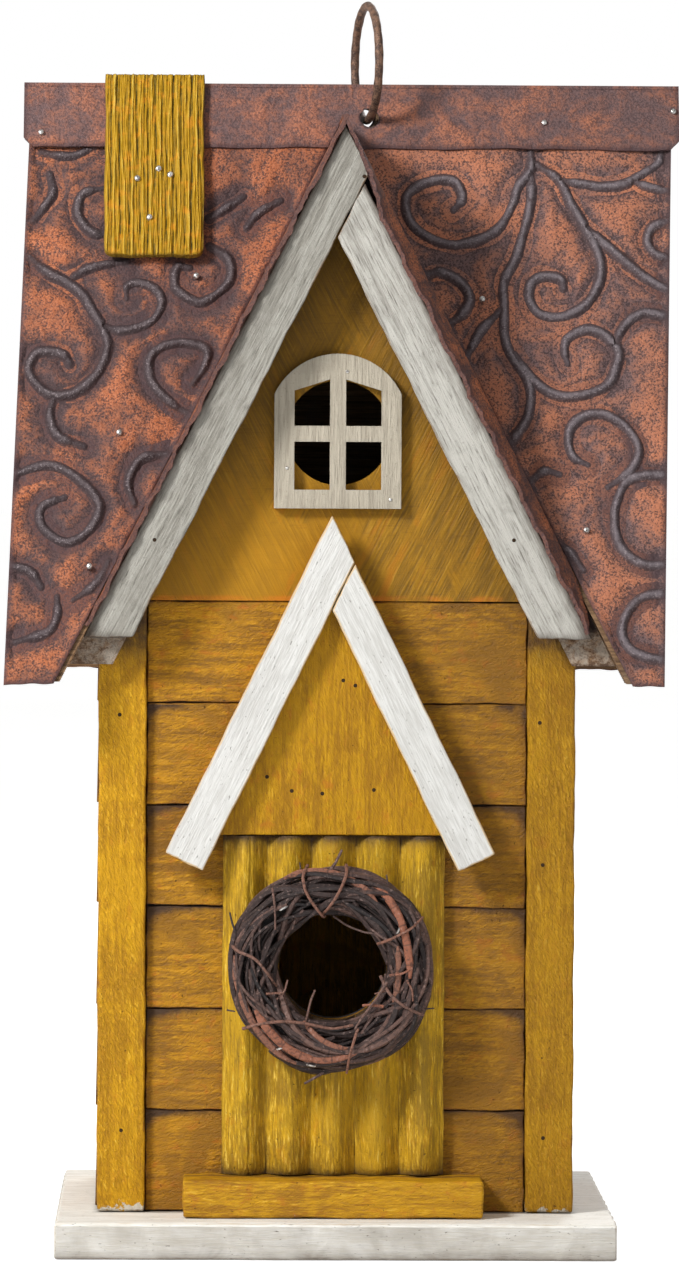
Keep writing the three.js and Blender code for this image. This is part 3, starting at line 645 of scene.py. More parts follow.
LEFT_SCROLLS = [
    [(-95, 347), (-85, 346), (-76, 350)],
    [(-92, 340), (-91, 334), (-94, 329), (-97, 325)],
    [(-73, 336), (-81, 334), (-83, 329), (-82, 325), (-78, 321), (-73, 321)],
    [(-98, 313), (-92, 308), (-86, 305), (-81, 301), (-78, 296), (-75, 291), (-73, 285), (-75, 278),
     (-78, 274), (-83, 270), (-90, 269), (-95, 272), (-98, 277), (-96, 282), (-92, 283), (-87, 282),
     (-85, 279)],
    [(-84, 307), (-78, 310), (-67, 312)],
    [(-75, 291), (-69, 290), (-63, 291), (-58, 294), (-56, 299), (-58, 303), (-63, 305), (-67, 304),
     (-67, 300)],
    [(-47, 310), (-51, 310), (-52, 305), (-50, 302), (-44, 299), (-38, 302), (-34, 307), (-35, 313),
     (-41, 317)],
    [(-41, 326), (-36, 329), (-30, 333)],
    [(-29, 323), (-25, 328), (-18, 332)],
    [(-46, 273), (-42, 279), (-42, 284), (-49, 286), (-55, 285), (-59, 282), (-60, 277), (-58, 272),
     (-53, 267), (-48, 264)],
    [(-90, 268), (-91, 262), (-88, 256), (-80, 253)],
    [(-105, 243), (-91, 247), (-81, 242), (-75, 234), (-79, 226), (-86, 223), (-93, 228), (-93, 234),
     (-86, 237)],
    [(-54, 251), (-62, 249), (-66, 242), (-64, 235)],
    [(-106, 216), (-97, 214), (-93, 209)],
    [(-88, 206), (-88, 200), (-91, 195), (-101, 192)],
    [(-72, 217), (-76, 210), (-83, 205)],
]
SCROLL_WIDTH, SCROLL_HEIGHT, SCROLL_SWELL = 3.1, 1.9, 1.6


def embossing(x, z, scrolls):
    """Height of the pressed pattern, distance to its lines, and how much of a line stands there. A line's
    section is a cosine hump, weaker at the line's ends, and the ground swells a little away from it."""
    lines = [smooth_path(line) for line in scrolls]
    to_end = np.concatenate([np.minimum(np.arange(len(line)), np.arange(len(line))[::-1]) for line in lines])
    strength = np.clip(to_end / 12, 0.55, 1)
    lines = np.concatenate(lines)
    distance, full = np.empty(x.shape), np.empty(x.shape)
    for row in range(x.shape[0]):
        apart = (x[row, :, None] - lines[:, 0]) ** 2 + (z[row, :, None] - lines[:, 1]) ** 2
        nearest = apart.argmin(axis=1)
        distance[row] = np.sqrt(apart[np.arange(len(nearest)), nearest])
        full[row] = strength[nearest]
    reach = SCROLL_WIDTH / 2 * (1 + 0.14 * wander(x + z, 4, 30)) * (0.7 + 0.3 * full)
    hump = 0.5 + 0.5 * np.cos(np.pi * np.minimum(distance / reach / 1.5, 1))
    hump = np.where(distance < reach * 1.5, hump, 0) * full
    swell = SCROLL_SWELL * (1 - np.exp(-(distance / 6) ** 2))
    return SCROLL_HEIGHT * hump + swell - SCROLL_SWELL, distance, hump


def grid_border(rows, columns):
    """The numbers of a grid's outermost points, once round."""
    number = np.arange(rows * columns).reshape(rows, columns)
    return np.concatenate([number[0, :-1], number[:-1, -1], number[-1, :0:-1], number[:0:-1, 0]])


def closed_behind(front, back, **marks):
    """Points, faces and marks of a surface on a grid, closed by a skirt round its border and one face at the
    back. A point behind has the marks of the border's point before it."""
    rows, columns = front.shape[:2]
    border = grid_border(rows, columns)
    behind = rows * columns + np.arange(len(border))
    skirt = np.column_stack([border, np.roll(border, -1), np.roll(behind, -1), behind])
    points = np.concatenate([front.reshape(-1, 3), back.reshape(-1, 3)[border]])
    faces = grid_faces(rows, columns) + skirt.tolist() + [behind[::-1].tolist()]
    marks = {mark: np.broadcast_to(values, (rows, columns)).ravel() for mark, values in marks.items()}
    return points, faces, {mark: np.concatenate([values, values[border]]) for mark, values in marks.items()}


def rusted_tin(name, orange, brown, plum, line, crest_highlight_tint, speck=1.0):
    """Painted tin: orange worn through brown on the open ground, plum towards the lines and the edges, dark
    slate with pale flecks on the raised lines, a painted highlight along their crests, and a fine dark
    speckle over it all."""
    material, place = start_finish(name)
    cloud = place.noise(62, 4, 0.62, 0.6)
    mottle = place.noise(380, 4, 0.7)
    grit = place.noise(1500, 3, 0.75)
    raised, gap, edge = place.mark("raised"), place.mark("gap"), place.mark("wear")
    ground = gap.between(0.12, 0.62) * 0.55 + (cloud - 0.5) * 2.4 + (mottle - 0.5) * 1.3 - 0.04
    colour = ground.between(-0.15, 0.50).mix(plum, brown)
    colour = ground.between(0.20, 1.0).mix(colour, orange)
    colour = (grit.between(0.50, 0.64) * ground.between(0.1, 0.7) * 0.55).mix(colour, tint(206, 134, 96))
    near = gap.between(0.45, 0.10)
    specks = (grit - near * 0.10 + (mottle - 0.5) * 0.25 + ground * 0.02).between(0.52, 0.42)
    colour = (specks * 0.8 * speck).mix(colour, tint(54, 42, 44))
    dark = (raised.between(0.05, 0.70) + (grit - 0.5) * 2.2 + (mottle - 0.5) * 1.8).between(0.15, 0.95)
    colour = (dark * 0.85).mix(colour, line)
    # Painted highlight on the crests of the raised lines.
    crest_highlight = (raised + (mottle - 0.5) * 1.4).between(0.62, 1.0)
    colour = (crest_highlight * 0.6).mix(colour, crest_highlight_tint)
    fleck = grit.between(0.54, 0.66) * raised.between(0.3, 0.9)
    colour = (fleck * 0.75).mix(colour, tint(156, 144, 146))
    rim = (edge + (mottle - 0.5) * 1.6 * edge).between(0.2, 0.9)
    colour = (rim * 0.75).mix(colour, tint(72, 54, 56))
    colour = (place.mark("cut") * grit.between(0.4, 0.6, 0.1, 0.5)).mix(colour, tint(128, 88, 74))
    rough = (grit * 0.6 + mottle * 0.4).between(0.35, 0.65, 0.5, 0.78)
    return end_finish(material, colour, rough, grit * 0.5 + mottle * 1.2 + cloud * 2.5, 0.55, metallic=0.15)


tin = rusted_tin("embossed_tin", tint(170, 98, 62), tint(128, 82, 64), tint(90, 68, 66), tint(62, 52, 54),
                 tint(96, 86, 88))


def roof_sheet(name, finish, side, edge_0, edge_1, scrolls, columns, rows, *nodes):
    """One embossed sheet: a grid from edge to edge and from the eave up, lifted square to the slope by the
    pattern and by slow dents, and rolled down at its borders."""
    z = np.linspace(EAVE, SHEET_TOP, rows)[:, None]
    s = np.linspace(0, 1, columns)[None, :]
    x = edge_0(z) + s * (edge_1(z) - edge_0(z))
    z = z + 0 * x
    height, distance, hump = embossing(x, z, scrolls)
    height = height + 0.22 * wander(x + 0.4 * z, 21, 60) + 0.18 * wander(z - 0.3 * x, 22, 50)
    inside = np.minimum(np.minimum(x - edge_0(z), edge_1(z) - x), (z - EAVE) / math.sin(MAIN_TURN))
    height = height * np.clip(inside / 2.5, 0, 1) - 0.5 * np.exp(-inside / 0.8)
    z = z + 0.5 * wander(x, 23, 35) * np.exp(-(z - EAVE) / 6)
    square = np.array([0, side * math.sin(MAIN_TURN), math.cos(MAIN_TURN)])
    flat = np.stack([x, main_y(z, side), z], -1)
    points, faces, marks = closed_behind(flat + height[..., None] * square, flat - SHEET_THICK * square,
                                         raised=hump, gap=np.minimum(distance / 12, 1),
                                         wear=np.exp(-inside / 1.6))
    stands_for(make_piece(name, points, faces, finish, marks), "house", "rusted_tin", *nodes)


def roof_end(which, z):
    return ROOF_ENDS[which] + LEAN * (z - EAVE)


def valley(side, z):
    """Where the gable's metal meets the main roof's at a height."""
    return GABLE_X + side * (GABLE_PEAK + GAP / math.cos(GABLE_TURN) - z) / GABLE_TAN


roof_sheet("front_sheet_left", tin, -1, lambda z: roof_end(0, z), lambda z: valley(-1, z), LEFT_SCROLLS,
           190, 330, "roof_sheet_front_left")
# The right sheet's painted crest highlight is lighter than the left sheet's.
right_tin = rusted_tin("right_tin", tint(180, 114, 84), tint(146, 101, 85), tint(110, 87, 85),
                       tint(82, 72, 75), tint(122, 113, 117))
roof_sheet("front_sheet_right", right_tin, -1, lambda z: valley(1, z), lambda z: roof_end(1, z),
           RIGHT_SCROLLS, 190, 330, "roof_sheet_front_right")

# Behind, both fields of scrolls run on, with more below where no gable is in the way.
BACK_SCROLLS = [[(-x, z) for x, z in line] for line in RIGHT_SCROLLS + LEFT_SCROLLS] + [
    [(-8, 300), (-4, 309), (4, 312), (11, 307), (11, 299), (4, 295), (-1, 300), (2, 304)],
    [(-20, 262), (-8, 270), (6, 268), (14, 258), (10, 246), (-2, 243), (-8, 251), (-2, 258), (5, 254)],
    [(24, 240), (34, 232), (46, 234), (52, 244), (46, 253), (36, 250)],
    [(-50, 214), (-36, 222), (-22, 218), (-16, 206), (-24, 196), (-35, 199), (-35, 208), (-28, 210)],
    [(10, 216), (24, 212), (34, 202), (30, 190), (18, 188), (12, 196), (18, 202)],
    [(-14, 240), (-20, 232), (-14, 224), (-2, 226), (6, 232)],
]
roof_sheet("back_sheet", tin, 1, lambda z: roof_end(0, z), lambda z: roof_end(1, z), BACK_SCROLLS, 340, 280,
           "roof_sheet_back")

# ---- Ridge cap --------------------------------------------------------------------------------------
# A plain strip of the same tin folded over the ridge and nailed along both flaps. Its corners are snipped,
# its foot wanders a little, and it is drilled for the hanging ring.

cap_tin = rusted_tin("cap_tin", tint(164, 102, 76), tint(136, 92, 78), tint(108, 84, 82), tint(66, 54, 56),
                     tint(110, 96, 98), 0.7)
low, high = node_box("ridge_cap")
CAP_TOP, CAP_FLAP, CAP_SNIP = high[2], 23.4, 3.2
CAP_ENDS = (-100.6, 109.9)
RING_X, BORE_Z, BORE_RADIUS, RING_TURN = 9.5, 358.4, 3.0, math.radians(11)


def ridge_cap():
    """Two flaps from a rounded fold, each point a distance down its flap and a distance along the ridge. The
    strip is made as an outer grid and an inner one, joined round their border."""
    down = np.concatenate([np.linspace(-1, -0.04, 22), [-0.02, 0, 0.02], np.linspace(0.04, 1, 22)])[:, None]
    along = np.linspace(0, 1, 150)[None, :]
    x = CAP_ENDS[0] + along * (CAP_ENDS[1] - CAP_ENDS[0])
    side = np.where(down < 0, -1, 1)
    flap = CAP_FLAP + 0.4 * wander(x, 31, 70)
    room = (CAP_TOP - (GABLE_PEAK + 0.5 - GABLE_TAN * np.abs(x - GABLE_X))) / math.sin(MAIN_TURN)
    flap = np.where(side < 0, np.minimum(flap, room), flap)
    far = np.abs(down) * flap
    snip = np.maximum(far - CAP_FLAP + CAP_SNIP, 0)
    x = x + snip * (1 - 2 * along) * np.clip(np.abs(1 - 2 * along) * 4 - 3, 0, 1)
    dent = (0.25 * wander(x, 32, 60) + 0.15 * wander(x * 1.7 + far, 33, 30)) * np.clip(far / 6, 0, 1)
    dent = dent + 0.5 * np.clip((far - CAP_FLAP + 1.2) / 1.2, 0, 1) * -1
    fold = np.sqrt(far ** 2 + 1.2) - 1.1
    layers = []
    for lift in (0.0, -0.9):
        y = MIDDLE_Y + side * (fold * math.cos(MAIN_TURN) + (dent + lift) * math.sin(MAIN_TURN))
        y = MIDDLE_Y + (y - MIDDLE_Y) * np.clip(far / 1.0, 0, 1)
        z = CAP_TOP - 0.6 - fold * math.sin(MAIN_TURN) + (dent + lift) * math.cos(MAIN_TURN)
        z = z + np.where(far < 1.5, lift * 1.3 * (1 - far / 1.5), 0)
        layers.append(np.stack([x + 0 * y, y, z + 0 * y], -1))
    rows, columns = layers[0].shape[:2]
    count = rows * columns
    outer = np.array(grid_faces(rows, columns))
    border = grid_border(rows, columns)
    after = np.roll(border, -1)
    rims = np.column_stack([border, after, after + count, border + count])
    faces = np.concatenate([outer, outer[:, ::-1] + count, rims]).tolist()
    points = np.concatenate([layer.reshape(-1, 3) for layer in layers])
    edge = np.exp(-np.minimum(np.minimum(flap - far, (x - CAP_ENDS[0])), CAP_ENDS[1] - x) / 1.6)
    fold_line = 0.3 * np.exp(-far / 1.5)
    marks = {"gap": np.full(2 * count, 0.36), "wear": np.tile((edge + fold_line).ravel(), 2)}
    return make_piece("ridge_strip", points, faces, cap_tin, marks)


piece = ridge_cap()
bore_way = (-math.sin(RING_TURN), math.cos(RING_TURN), 0)
bore(piece, np.array([RING_X, MIDDLE_Y, BORE_Z]), bore_way, BORE_RADIUS)
stands_for(piece, "house", "rusted_tin", "ridge_cap")

# ---- Gable metal ------------------------------------------------------------------------------------
# A sheet of the same tin folded over the gable. Its front edge was hammered down over the boards, so it
# waves, and on the right it is bent down as a lip. Behind, it is trimmed where the main roof begins.

GABLE_FRONT, GABLE_LOW = -64.0, 197.0
LIP_DROP, LIP_START, LIP_WIDTH = 3.6, -57.5, 6.5


def gable_metal(name, side):
    """One slope of the gable's metal: a distance down the slope, and a distance back from the wavy front
    edge to the valley, lifted square to the slope by hammer marks near the edge."""
    z = GABLE_PEAK - (GABLE_PEAK - GABLE_LOW) * np.linspace(0, 1, 230)[:, None]
    t = np.linspace(0, 1, 60)[None, :] ** 1.5
    down = (GABLE_PEAK - z) / math.sin(GABLE_TURN)
    front = GABLE_FRONT + 0.6 * wander(down, 41 + side, 26) * np.clip(down / 8, 0, 1)
    back = main_y(z, -1) + 0.6
    y = front + t * np.maximum(back - front, 0.5)
    near = np.exp(-(y - front) / 3.0)
    hammered = 0.55 * wander(down, 43 + side, 21) + 0.35 * wander(down, 45 + side, 9)
    lift = near * hammered * np.clip(down / 5, 0, 1)
    lift = lift + 0.1 * wander(down + y, 47 + side, 40) - 0.25 * near
    if side > 0:
        bent = np.clip((LIP_START - y) / LIP_WIDTH, 0, 1) ** 1.2
        lift = lift - LIP_DROP * bent * np.clip((down - 14) / 22, 0, 1)
    square = np.array([side * math.sin(GABLE_TURN), 0, math.cos(GABLE_TURN)])
    flat = np.stack([GABLE_X + side * (GABLE_PEAK - z) / GABLE_TAN + 0 * y, y, z + 0 * y], -1)
    under = flat - SHEET_THICK * square + (lift * near)[..., None] * square
    points, faces, marks = closed_behind(flat + lift[..., None] * square, under, gap=0.45,
                                         raised=0.25 * near, wear=np.exp(-(y - front) / 2.2),
                                         cut=np.exp(-(y - front) / 0.3))
    return make_piece(name, points, faces, tin, marks)


for hand, side in HANDS:
    stands_for(gable_metal(f"gable_metal_{hand}", side), "house", "rusted_tin", "gable_sheet")

# ---- Bargeboards ------------------------------------------------------------------------------------
# Two sawn strips under the gable's edge, the left one running up to the peak and the right one butted
# against it. Thin white over grey wood; the saw's long scratches show, and the outer edges are worn brown.
# Painted shade of the roof's edge darkens both along their outer edges, and the left one all over.


def weathered_white(name, turn, light, grey, dark, scratch=0.7):
    """Thin off-white dragged over grey wood: long scratches along the grain, grey where the coat is thin,
    dark fibres, brown rubbed rims, and dark grime and painted shade where a piece's marks ask for it."""
    material, place = start_finish(name)
    fibre = place.stretched(turn, (1500, 1500, 110)).noise(1.0, 4, 0.65)
    broad = place.stretched(turn, (300, 300, 13)).noise(1.0, 4, 0.6)
    blotch = place.noise(80, 4, 0.65, 0.5)
    speck = place.noise(1300, 3, 0.7)
    wear, dirt = place.mark("wear"), place.mark("dirt")
    colour = (fibre * 0.55 + broad * 0.45).between(0.38, 0.58).mix(grey, light)
    colour = (blotch.between(0.5, 0.7) * 0.5).mix(colour, grey)
    colour = (fibre.between(0.44, 0.30) * scratch).mix(colour, dark)
    colour = (speck.between(0.60, 0.72) * 0.4).mix(colour, dark)
    rubbed = (wear * 1.1 + (blotch - 0.5) * 1.2 + (fibre - 0.5) * 0.8).between(0.75, 1.15)
    colour = (rubbed * 0.8).mix(colour, tint(128, 98, 66))
    # Dark grime and painted shade, where a piece's marks give them.
    grime_and_shade = (dirt + (blotch - 0.5) * dirt + (fibre - 0.5) * 0.9 * dirt).between(0.12, 0.95)
    colour = (grime_and_shade * 0.9).mix(colour, tint(74, 62, 52))
    height = fibre + broad * 0.5 + speck * 0.3
    return end_finish(material, colour, fibre.between(0.3, 0.7, 0.55, 0.75), height, 0.5)


BARGE_FOOT, BARGE_WIDTH, BARGE_LENGTH, BARGE_TOP = 193.1, 13.5, 150, 1.5
RIGHT_DROP, RIGHT_MORE = 4.5, 1.6
# The left board's tints are darker than the right's: painted shade, as the roof's edge shades it.
BARGE_TINTS_LEFT_SHADED = {"left": (tint(160, 157, 148), tint(126, 122, 113), tint(86, 81, 74)),
               "right": (tint(186, 183, 175), tint(146, 142, 134), tint(92, 86, 79))}
low, high = node_box("bargeboard_left")
barge_front = low[1]
barge_thick = high[1] - low[1]


def rake(side, depth, z):
    """The x of a line under the gable's slope, a depth square to it, at a height."""
    return GABLE_X + side * ((GABLE_PEAK - z) / GABLE_TAN - depth / math.sin(GABLE_TURN))


def under_peak(left, right):
    """Where a line a depth under the left slope crosses one a depth under the right."""
    return (GABLE_X + (left - right) / (2 * math.sin(GABLE_TURN)), barge_front,
            GABLE_PEAK - (left + right) / (2 * math.cos(GABLE_TURN)))


def barge_shade_and_weather(s, t, points):
    """Painted shade of the roof along the outer edge, and weather at the feet."""
    inwards = s * BARGE_WIDTH
    return 0.75 * np.exp(-inwards) + 0.3 * np.exp(-inwards / 4.0) + 0.6 * np.exp(-t * BARGE_LENGTH / 2.5)


BARGE_EDGES = {"left": (BARGE_TOP, BARGE_TOP + BARGE_WIDTH),
               "right": (BARGE_TOP + RIGHT_DROP - RIGHT_MORE, BARGE_TOP + RIGHT_DROP + BARGE_WIDTH)}
for hand, side in HANDS:
    outer, inner = BARGE_EDGES[hand]
    feet = [(rake(side, depth, BARGE_FOOT), barge_front, BARGE_FOOT) for depth in (outer, inner)]
    if side < 0:
        tops = [under_peak(inner, BARGE_TOP), under_peak(outer, BARGE_TOP)]
    else:
        seam = BARGE_TOP + BARGE_WIDTH + GAP
        tops = [under_peak(seam, inner), under_peak(seam, outer)]
    finish = weathered_white(f"barge_white_{hand}", (0, side * (90 - math.degrees(GABLE_TURN)), 0),
                             *BARGE_TINTS_LEFT_SHADED[hand])
    piece = plank(f"barge_{hand}", [feet[0], feet[1], tops[0], tops[1]], (0, -1, 0), barge_thick, finish,
                  rim=0.4, waver=0.3, seed=60 + side, dirt=barge_shade_and_weather, cell=2.0)
    stands_for(piece, "house", "grey_white_paint", f"bargeboard_{hand}")

# ---- Window -----------------------------------------------------------------------------------------
# An arched frame cut from thin board with four lights, its edges eased, nailed over the attic hole with
# three pins and painted a thin grey-white.


def ease_edges(node, width, finish, segments=3):
    """Merges a solid's corners and rounds its edges over 30 degrees."""
    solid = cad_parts[node]
    weld = solid.modifiers.new("weld", "WELD")
    weld.merge_threshold = 0.00001
    bevel = solid.modifiers.new("eased", "BEVEL")
    bevel.width, bevel.segments, bevel.limit_method = width * MM, segments, "ANGLE"
    bevel.angle_limit = math.radians(30)
    finish_node(node, finish)


window_white = weathered_white("window_white", (0, 0, 0), tint(178, 169, 152), tint(158, 149, 133),
                               tint(112, 102, 88), 0.2)
ease_edges("window_frame", 0.45, window_white)

# ---- Pediment ---------------------------------------------------------------------------------------
# An ochre triangle behind two white strips, the left one running up to the peak with the right one butted
# under it. The white is opaque and fresh here, with warm lines where the ochre shows along the rims.

pediment_ochre = ochre_paint("pediment_ochre", (0, 0, 0), tint(190, 140, 4), tint(150, 104, 8),
                             tint(206, 162, 50), cross=0.3, brown_share=0.45, orange_share=0.5, depth=0.25)
ease_edges("pediment_board", 0.5, pediment_ochre)

PEDIMENT_X, PEDIMENT_PEAK, PEDIMENT_FOOT, STRIP_WIDTH, STRIP_LENGTH = -2.0, 231.5, 125.5, 12.9, 110
PEDIMENT_TURN = math.radians(64)
low, high = node_box("pediment_strip_left")
strip_front, strip_thick = low[1], high[1] - low[1]


def strip_foot(side, depth):
    """Where a line a depth inside a strip's outer edge ends at the foot, cut square."""
    reach = (PEDIMENT_PEAK - PEDIMENT_FOOT) / math.tan(PEDIMENT_TURN) - depth * math.sin(PEDIMENT_TURN)
    return PEDIMENT_X + side * reach, strip_front, PEDIMENT_FOOT - depth * math.cos(PEDIMENT_TURN)


def strip_top(left, right):
    """Where a line a depth inside the left slope crosses one a depth inside the right."""
    return (PEDIMENT_X + (left - right) / (2 * math.sin(PEDIMENT_TURN)), strip_front,
            PEDIMENT_PEAK - (left + right) / (2 * math.cos(PEDIMENT_TURN)))


def strip_dirt(s, t, points):
    """A little grime at the feet."""
    return 0.25 * np.exp(-t * STRIP_LENGTH / 6)


for hand, side in HANDS:
    feet = [strip_foot(side, 0), strip_foot(side, STRIP_WIDTH)]
    if side < 0:
        tops = [strip_top(STRIP_WIDTH, 0), strip_top(0, 0)]
    else:
        seam = STRIP_WIDTH + GAP
        tops = [strip_top(seam, STRIP_WIDTH), strip_top(seam, 0)]
    finish = white_paint(f"strip_white_{hand}", (0, side * 26, 0), tint(212, 211, 207), tint(190, 188, 183),
                         tint(196, 160, 96), streaks=0.3)
    piece = plank(f"strip_{hand}", [*feet, *tops], (0, -1, 0), strip_thick, finish, rim=0.45, waver=0.2,
                  seed=70 + side, dirt=strip_dirt, cell=2.0)
    stands_for(piece, "house", "white_paint", f"pediment_strip_{hand}")

# ---- Columns and sill -------------------------------------------------------------------------------
# Five half-round mouldings stand side by side on the sill. The entrance is cut through the middle three.
# Painted shade darkens the valleys between them and their heads under the pediment; they are darker at their
# feet too.

column_ochre = ochre_paint("column_ochre", (0, 0, 0), tint(206, 160, 22), tint(146, 112, 24),
                           tint(236, 206, 104), cross=0.15, brown_share=0.45, orange_share=0.3, depth=0.3)
COLUMN_PITCH, COLUMN_MIDDLE, COLUMN_BULGE, COLUMN_EDGE = 13.96, -0.8, 7.0, 0.34
low, high = node_box("column_1")
COLUMN_FOOT, COLUMN_HEAD, MOUNT_Y = low[2], high[2], high[1]


def half_round(index, end):
    """A stretch of a column, as an angle over its section and a share of its height. It stands
    out by the cosine of the place across, raised to 1.4, above its edges. End says which end follows the
    entrance's circle: -1 the foot, 1 the head, 0 neither."""
    middle = COLUMN_MIDDLE + (index - 3) * COLUMN_PITCH
    half = COLUMN_PITCH / 2
    turn = np.linspace(0, np.pi, 41)[None, :]
    x = middle - half * np.cos(turn)
    rim = np.sqrt(np.maximum(ENTRANCE_RADIUS ** 2 - (x - ENTRANCE[0]) ** 2, 0))
    foot = ENTRANCE[1] + rim if end < 0 else COLUMN_FOOT + 0 * x
    head = ENTRANCE[1] - rim if end > 0 else COLUMN_HEAD + 0 * x
    t = np.linspace(0, 1, 50)[:, None]
    z = foot + t * (head - foot)
    section = COLUMN_EDGE + (1 - COLUMN_EDGE) * np.cos(np.pi / 2 * np.cos(turn)) ** 1.4
    bulge = COLUMN_BULGE * section + 0.22 * wander(z, index * 3, 60) * np.sin(turn)
    if index == 1:      # this one has split along its grain
        bulge = bulge - 0.35 * np.exp(-((x - middle - 1.6) / 0.3) ** 2)
    ends = np.minimum(z - COLUMN_FOOT, COLUMN_HEAD - z)
    bulge = bulge * (1 - 0.12 * np.exp(-ends / 0.7))
    x = x + 0.18 * wander(z, index * 3 + 1, 50)
    front = np.stack([x, MOUNT_Y - bulge, z], -1)
    back = np.stack([x, MOUNT_Y + 0 * x, z], -1)
    # Painted shade in the valleys and at the heads, under the pediment; darker also at the feet and round the
    # entrance.
    valley_shade = 0.6 * np.exp(-np.sin(turn) / 0.36) * (0.75 + 0.25 * wander(z, index, 40))
    grime_and_shade = valley_shade + 0.95 * np.exp(-(COLUMN_HEAD - z) / 3.0) + 0.7 * np.exp(-(z - COLUMN_FOOT) / 2.5)
    from_hole = np.maximum(np.hypot(x - ENTRANCE[0], z - ENTRANCE[1]) - ENTRANCE_RADIUS, 0)
    grime_and_shade = grime_and_shade + 1.2 * np.exp(-from_hole / 2.5)
    return closed_behind(front, back, dirt=np.minimum(grime_and_shade, 1.2), wear=0.5 * np.exp(-ends))


def joined(parts):
    """Several parts' points, faces and marks as one."""
    points, faces, marks, count = [], [], {}, 0
    for part_points, part_faces, part_marks in parts:
        points.append(np.asarray(part_points).reshape(-1, 3))
        faces += [[i + count for i in face] for face in part_faces]
        count += len(points[-1])
        for mark, values in part_marks.items():
            marks.setdefault(mark, []).append(np.asarray(values).ravel())
    return np.concatenate(points), faces, {mark: np.concatenate(values) for mark, values in marks.items()}


for index in range(1, 6):
    holed = abs(index - 3) < 2
    points, faces, marks = joined([half_round(index, end) for end in ((1, -1) if holed else (0,))])
    piece = make_piece(f"half_round_{index}", points, faces, column_ochre, marks)
    nodes = [f"column_{index}"] if index != 3 else ["column_3_lower", "column_3_upper"]
    stands_for(piece, "house", "yellow_paint", *nodes)

sill_ochre = ochre_paint("sill_ochre", (0, 90, 0), tint(204, 152, 10), tint(154, 106, 14),
                         tint(224, 180, 70), cross=0.1, brown_share=0.4, orange_share=0.45, depth=0.3)
low, high = node_box("sill")
corners = [(low[0], low[1], low[2]), (low[0], low[1], high[2]), (high[0], low[1], high[2]),
           (high[0], low[1], low[2])]
SILL_TOP_FROM, SILL_HEIGHT, COLUMN_FRONT = 23, 11.7, -54


def sill_darkening(s, t, points):
    """Darker where the columns stand on it, and along its foot."""
    x, y, z = np.moveaxis(points, -1, 0)
    top = 0.9 * np.exp(-np.abs(y - COLUMN_FRONT) / 2.2) * (z > SILL_TOP_FROM)
    return top + 0.35 * np.exp(-s * SILL_HEIGHT / 1.2)


piece = plank("sill_block", corners, (0, -1, 0), high[1] - low[1], sill_ochre, rim=0.8, waver=0.3, seed=81,
              dirt=sill_darkening, cell=2.0)
stands_for(piece, "house", "yellow_paint", "sill")

# ---- Wreath -----------------------------------------------------------------------------------------
# Thin vine twigs wound round and round into a flattened ring, bound here and there by a finer shoot, and
# stapled over the entrance. Most are dark plum-brown, and a few have shed their bark and show red.


ALONG_UNIT = 60


def twig_finish():
    """Bark whose colour follows each twig's tone, with pale and dark streaks and dark rings at its nodes."""
    material, place = start_finish("vine_twigs")
    tone, along = place.mark("tone"), place.mark("along")
    streak = place.noise(900, 4, 0.7)
    node_ring = along.math("SINE", along * ALONG_UNIT).between(0.93, 1.0)
    colour = tone.node("ValToRGB", {"stops": [
        (0.0, tint(22, 18, 18)), (0.35, tint(62, 46, 42)), (0.7, tint(108, 80, 70)),
        (0.86, tint(126, 84, 66)), (1.0, tint(148, 88, 62))]}, {0: tone})
    colour = (streak.between(0.50, 0.36) * 0.6).mix(colour, tint(40, 30, 31))
    colour = (streak.between(0.56, 0.70) * 0.5).mix(colour, tint(168, 142, 134))
    colour = (node_ring * 0.5).mix(colour, tint(30, 20, 20))
    return end_finish(material, colour, 0.6, streak, 0.4, gloss=0.4)


def carried(path, radius, sides=7, flat=1.0, marks=None):
    """A tube: a circle, squeezed by flat, carried along a path whose radius is given at each point. Its ends
    are closed. Each mark is one value for the whole tube."""
    path = np.asarray(path, float)
    along = np.gradient(path, axis=0)
    along /= np.linalg.norm(along, axis=1, keepdims=True)
    side = np.cross(along, (0.0, 1.0, 0.0)) + 1e-9
    side /= np.linalg.norm(side, axis=1, keepdims=True)
    up = np.cross(side, along)
    angle = np.linspace(0, 2 * np.pi, sides, endpoint=False)
    radius = np.broadcast_to(radius, len(path))[:, None, None]
    points = path[:, None] + radius * (np.cos(angle)[None, :, None] * side[:, None]
                                       + flat * np.sin(angle)[None, :, None] * up[:, None])
    length = np.concatenate([[0], np.cumsum(np.linalg.norm(np.diff(path, axis=0), axis=1))])
    marks = {mark: np.full(len(path) * sides, value) for mark, value in (marks or {}).items()}
    marks["along"] = np.repeat(length / ALONG_UNIT, sides)
    return points, tube_faces(len(path), sides), marks


low, high = node_box("wreath")
WREATH = (low + high) / 2
WREATH_OUTER, WREATH_DEPTH = (high[0] - low[0]) / 2, (high[1] - low[1]) / 2
WREATH_INNER = ENTRANCE_RADIUS - 0.3
WREATH_BAND = (WREATH_OUTER - WREATH_INNER) / 2
WREATH_MIDDLE = (WREATH_OUTER + WREATH_INNER) / 2


def wound(start, span, across, around, drift, weave, phase, steps=44):
    """A twig's line in the wreath: an angle round the entrance, a share of the band's half-width from its
    middle, and an angle round the band's section, which both drift as it goes."""
    t = np.linspace(0, 1, steps)
    turn = start + span * t
    section = around + drift * (t - 0.5) + 0.45 * np.sin(weave * turn + phase)
    share = across * (1 + 0.09 * np.sin(3.1 * turn + phase))
    radius = WREATH_MIDDLE + WREATH_BAND * share * np.cos(section)
    depth = WREATH_DEPTH * share * np.sin(section)
    return WREATH + np.stack([radius * np.cos(turn), -depth, radius * np.sin(turn)], -1)


def to_nearer_end(path):
    """At each point of a path, the share of its length to the nearer end."""
    share = np.linspace(0, 1, len(path))
    return np.minimum(share, share[::-1])


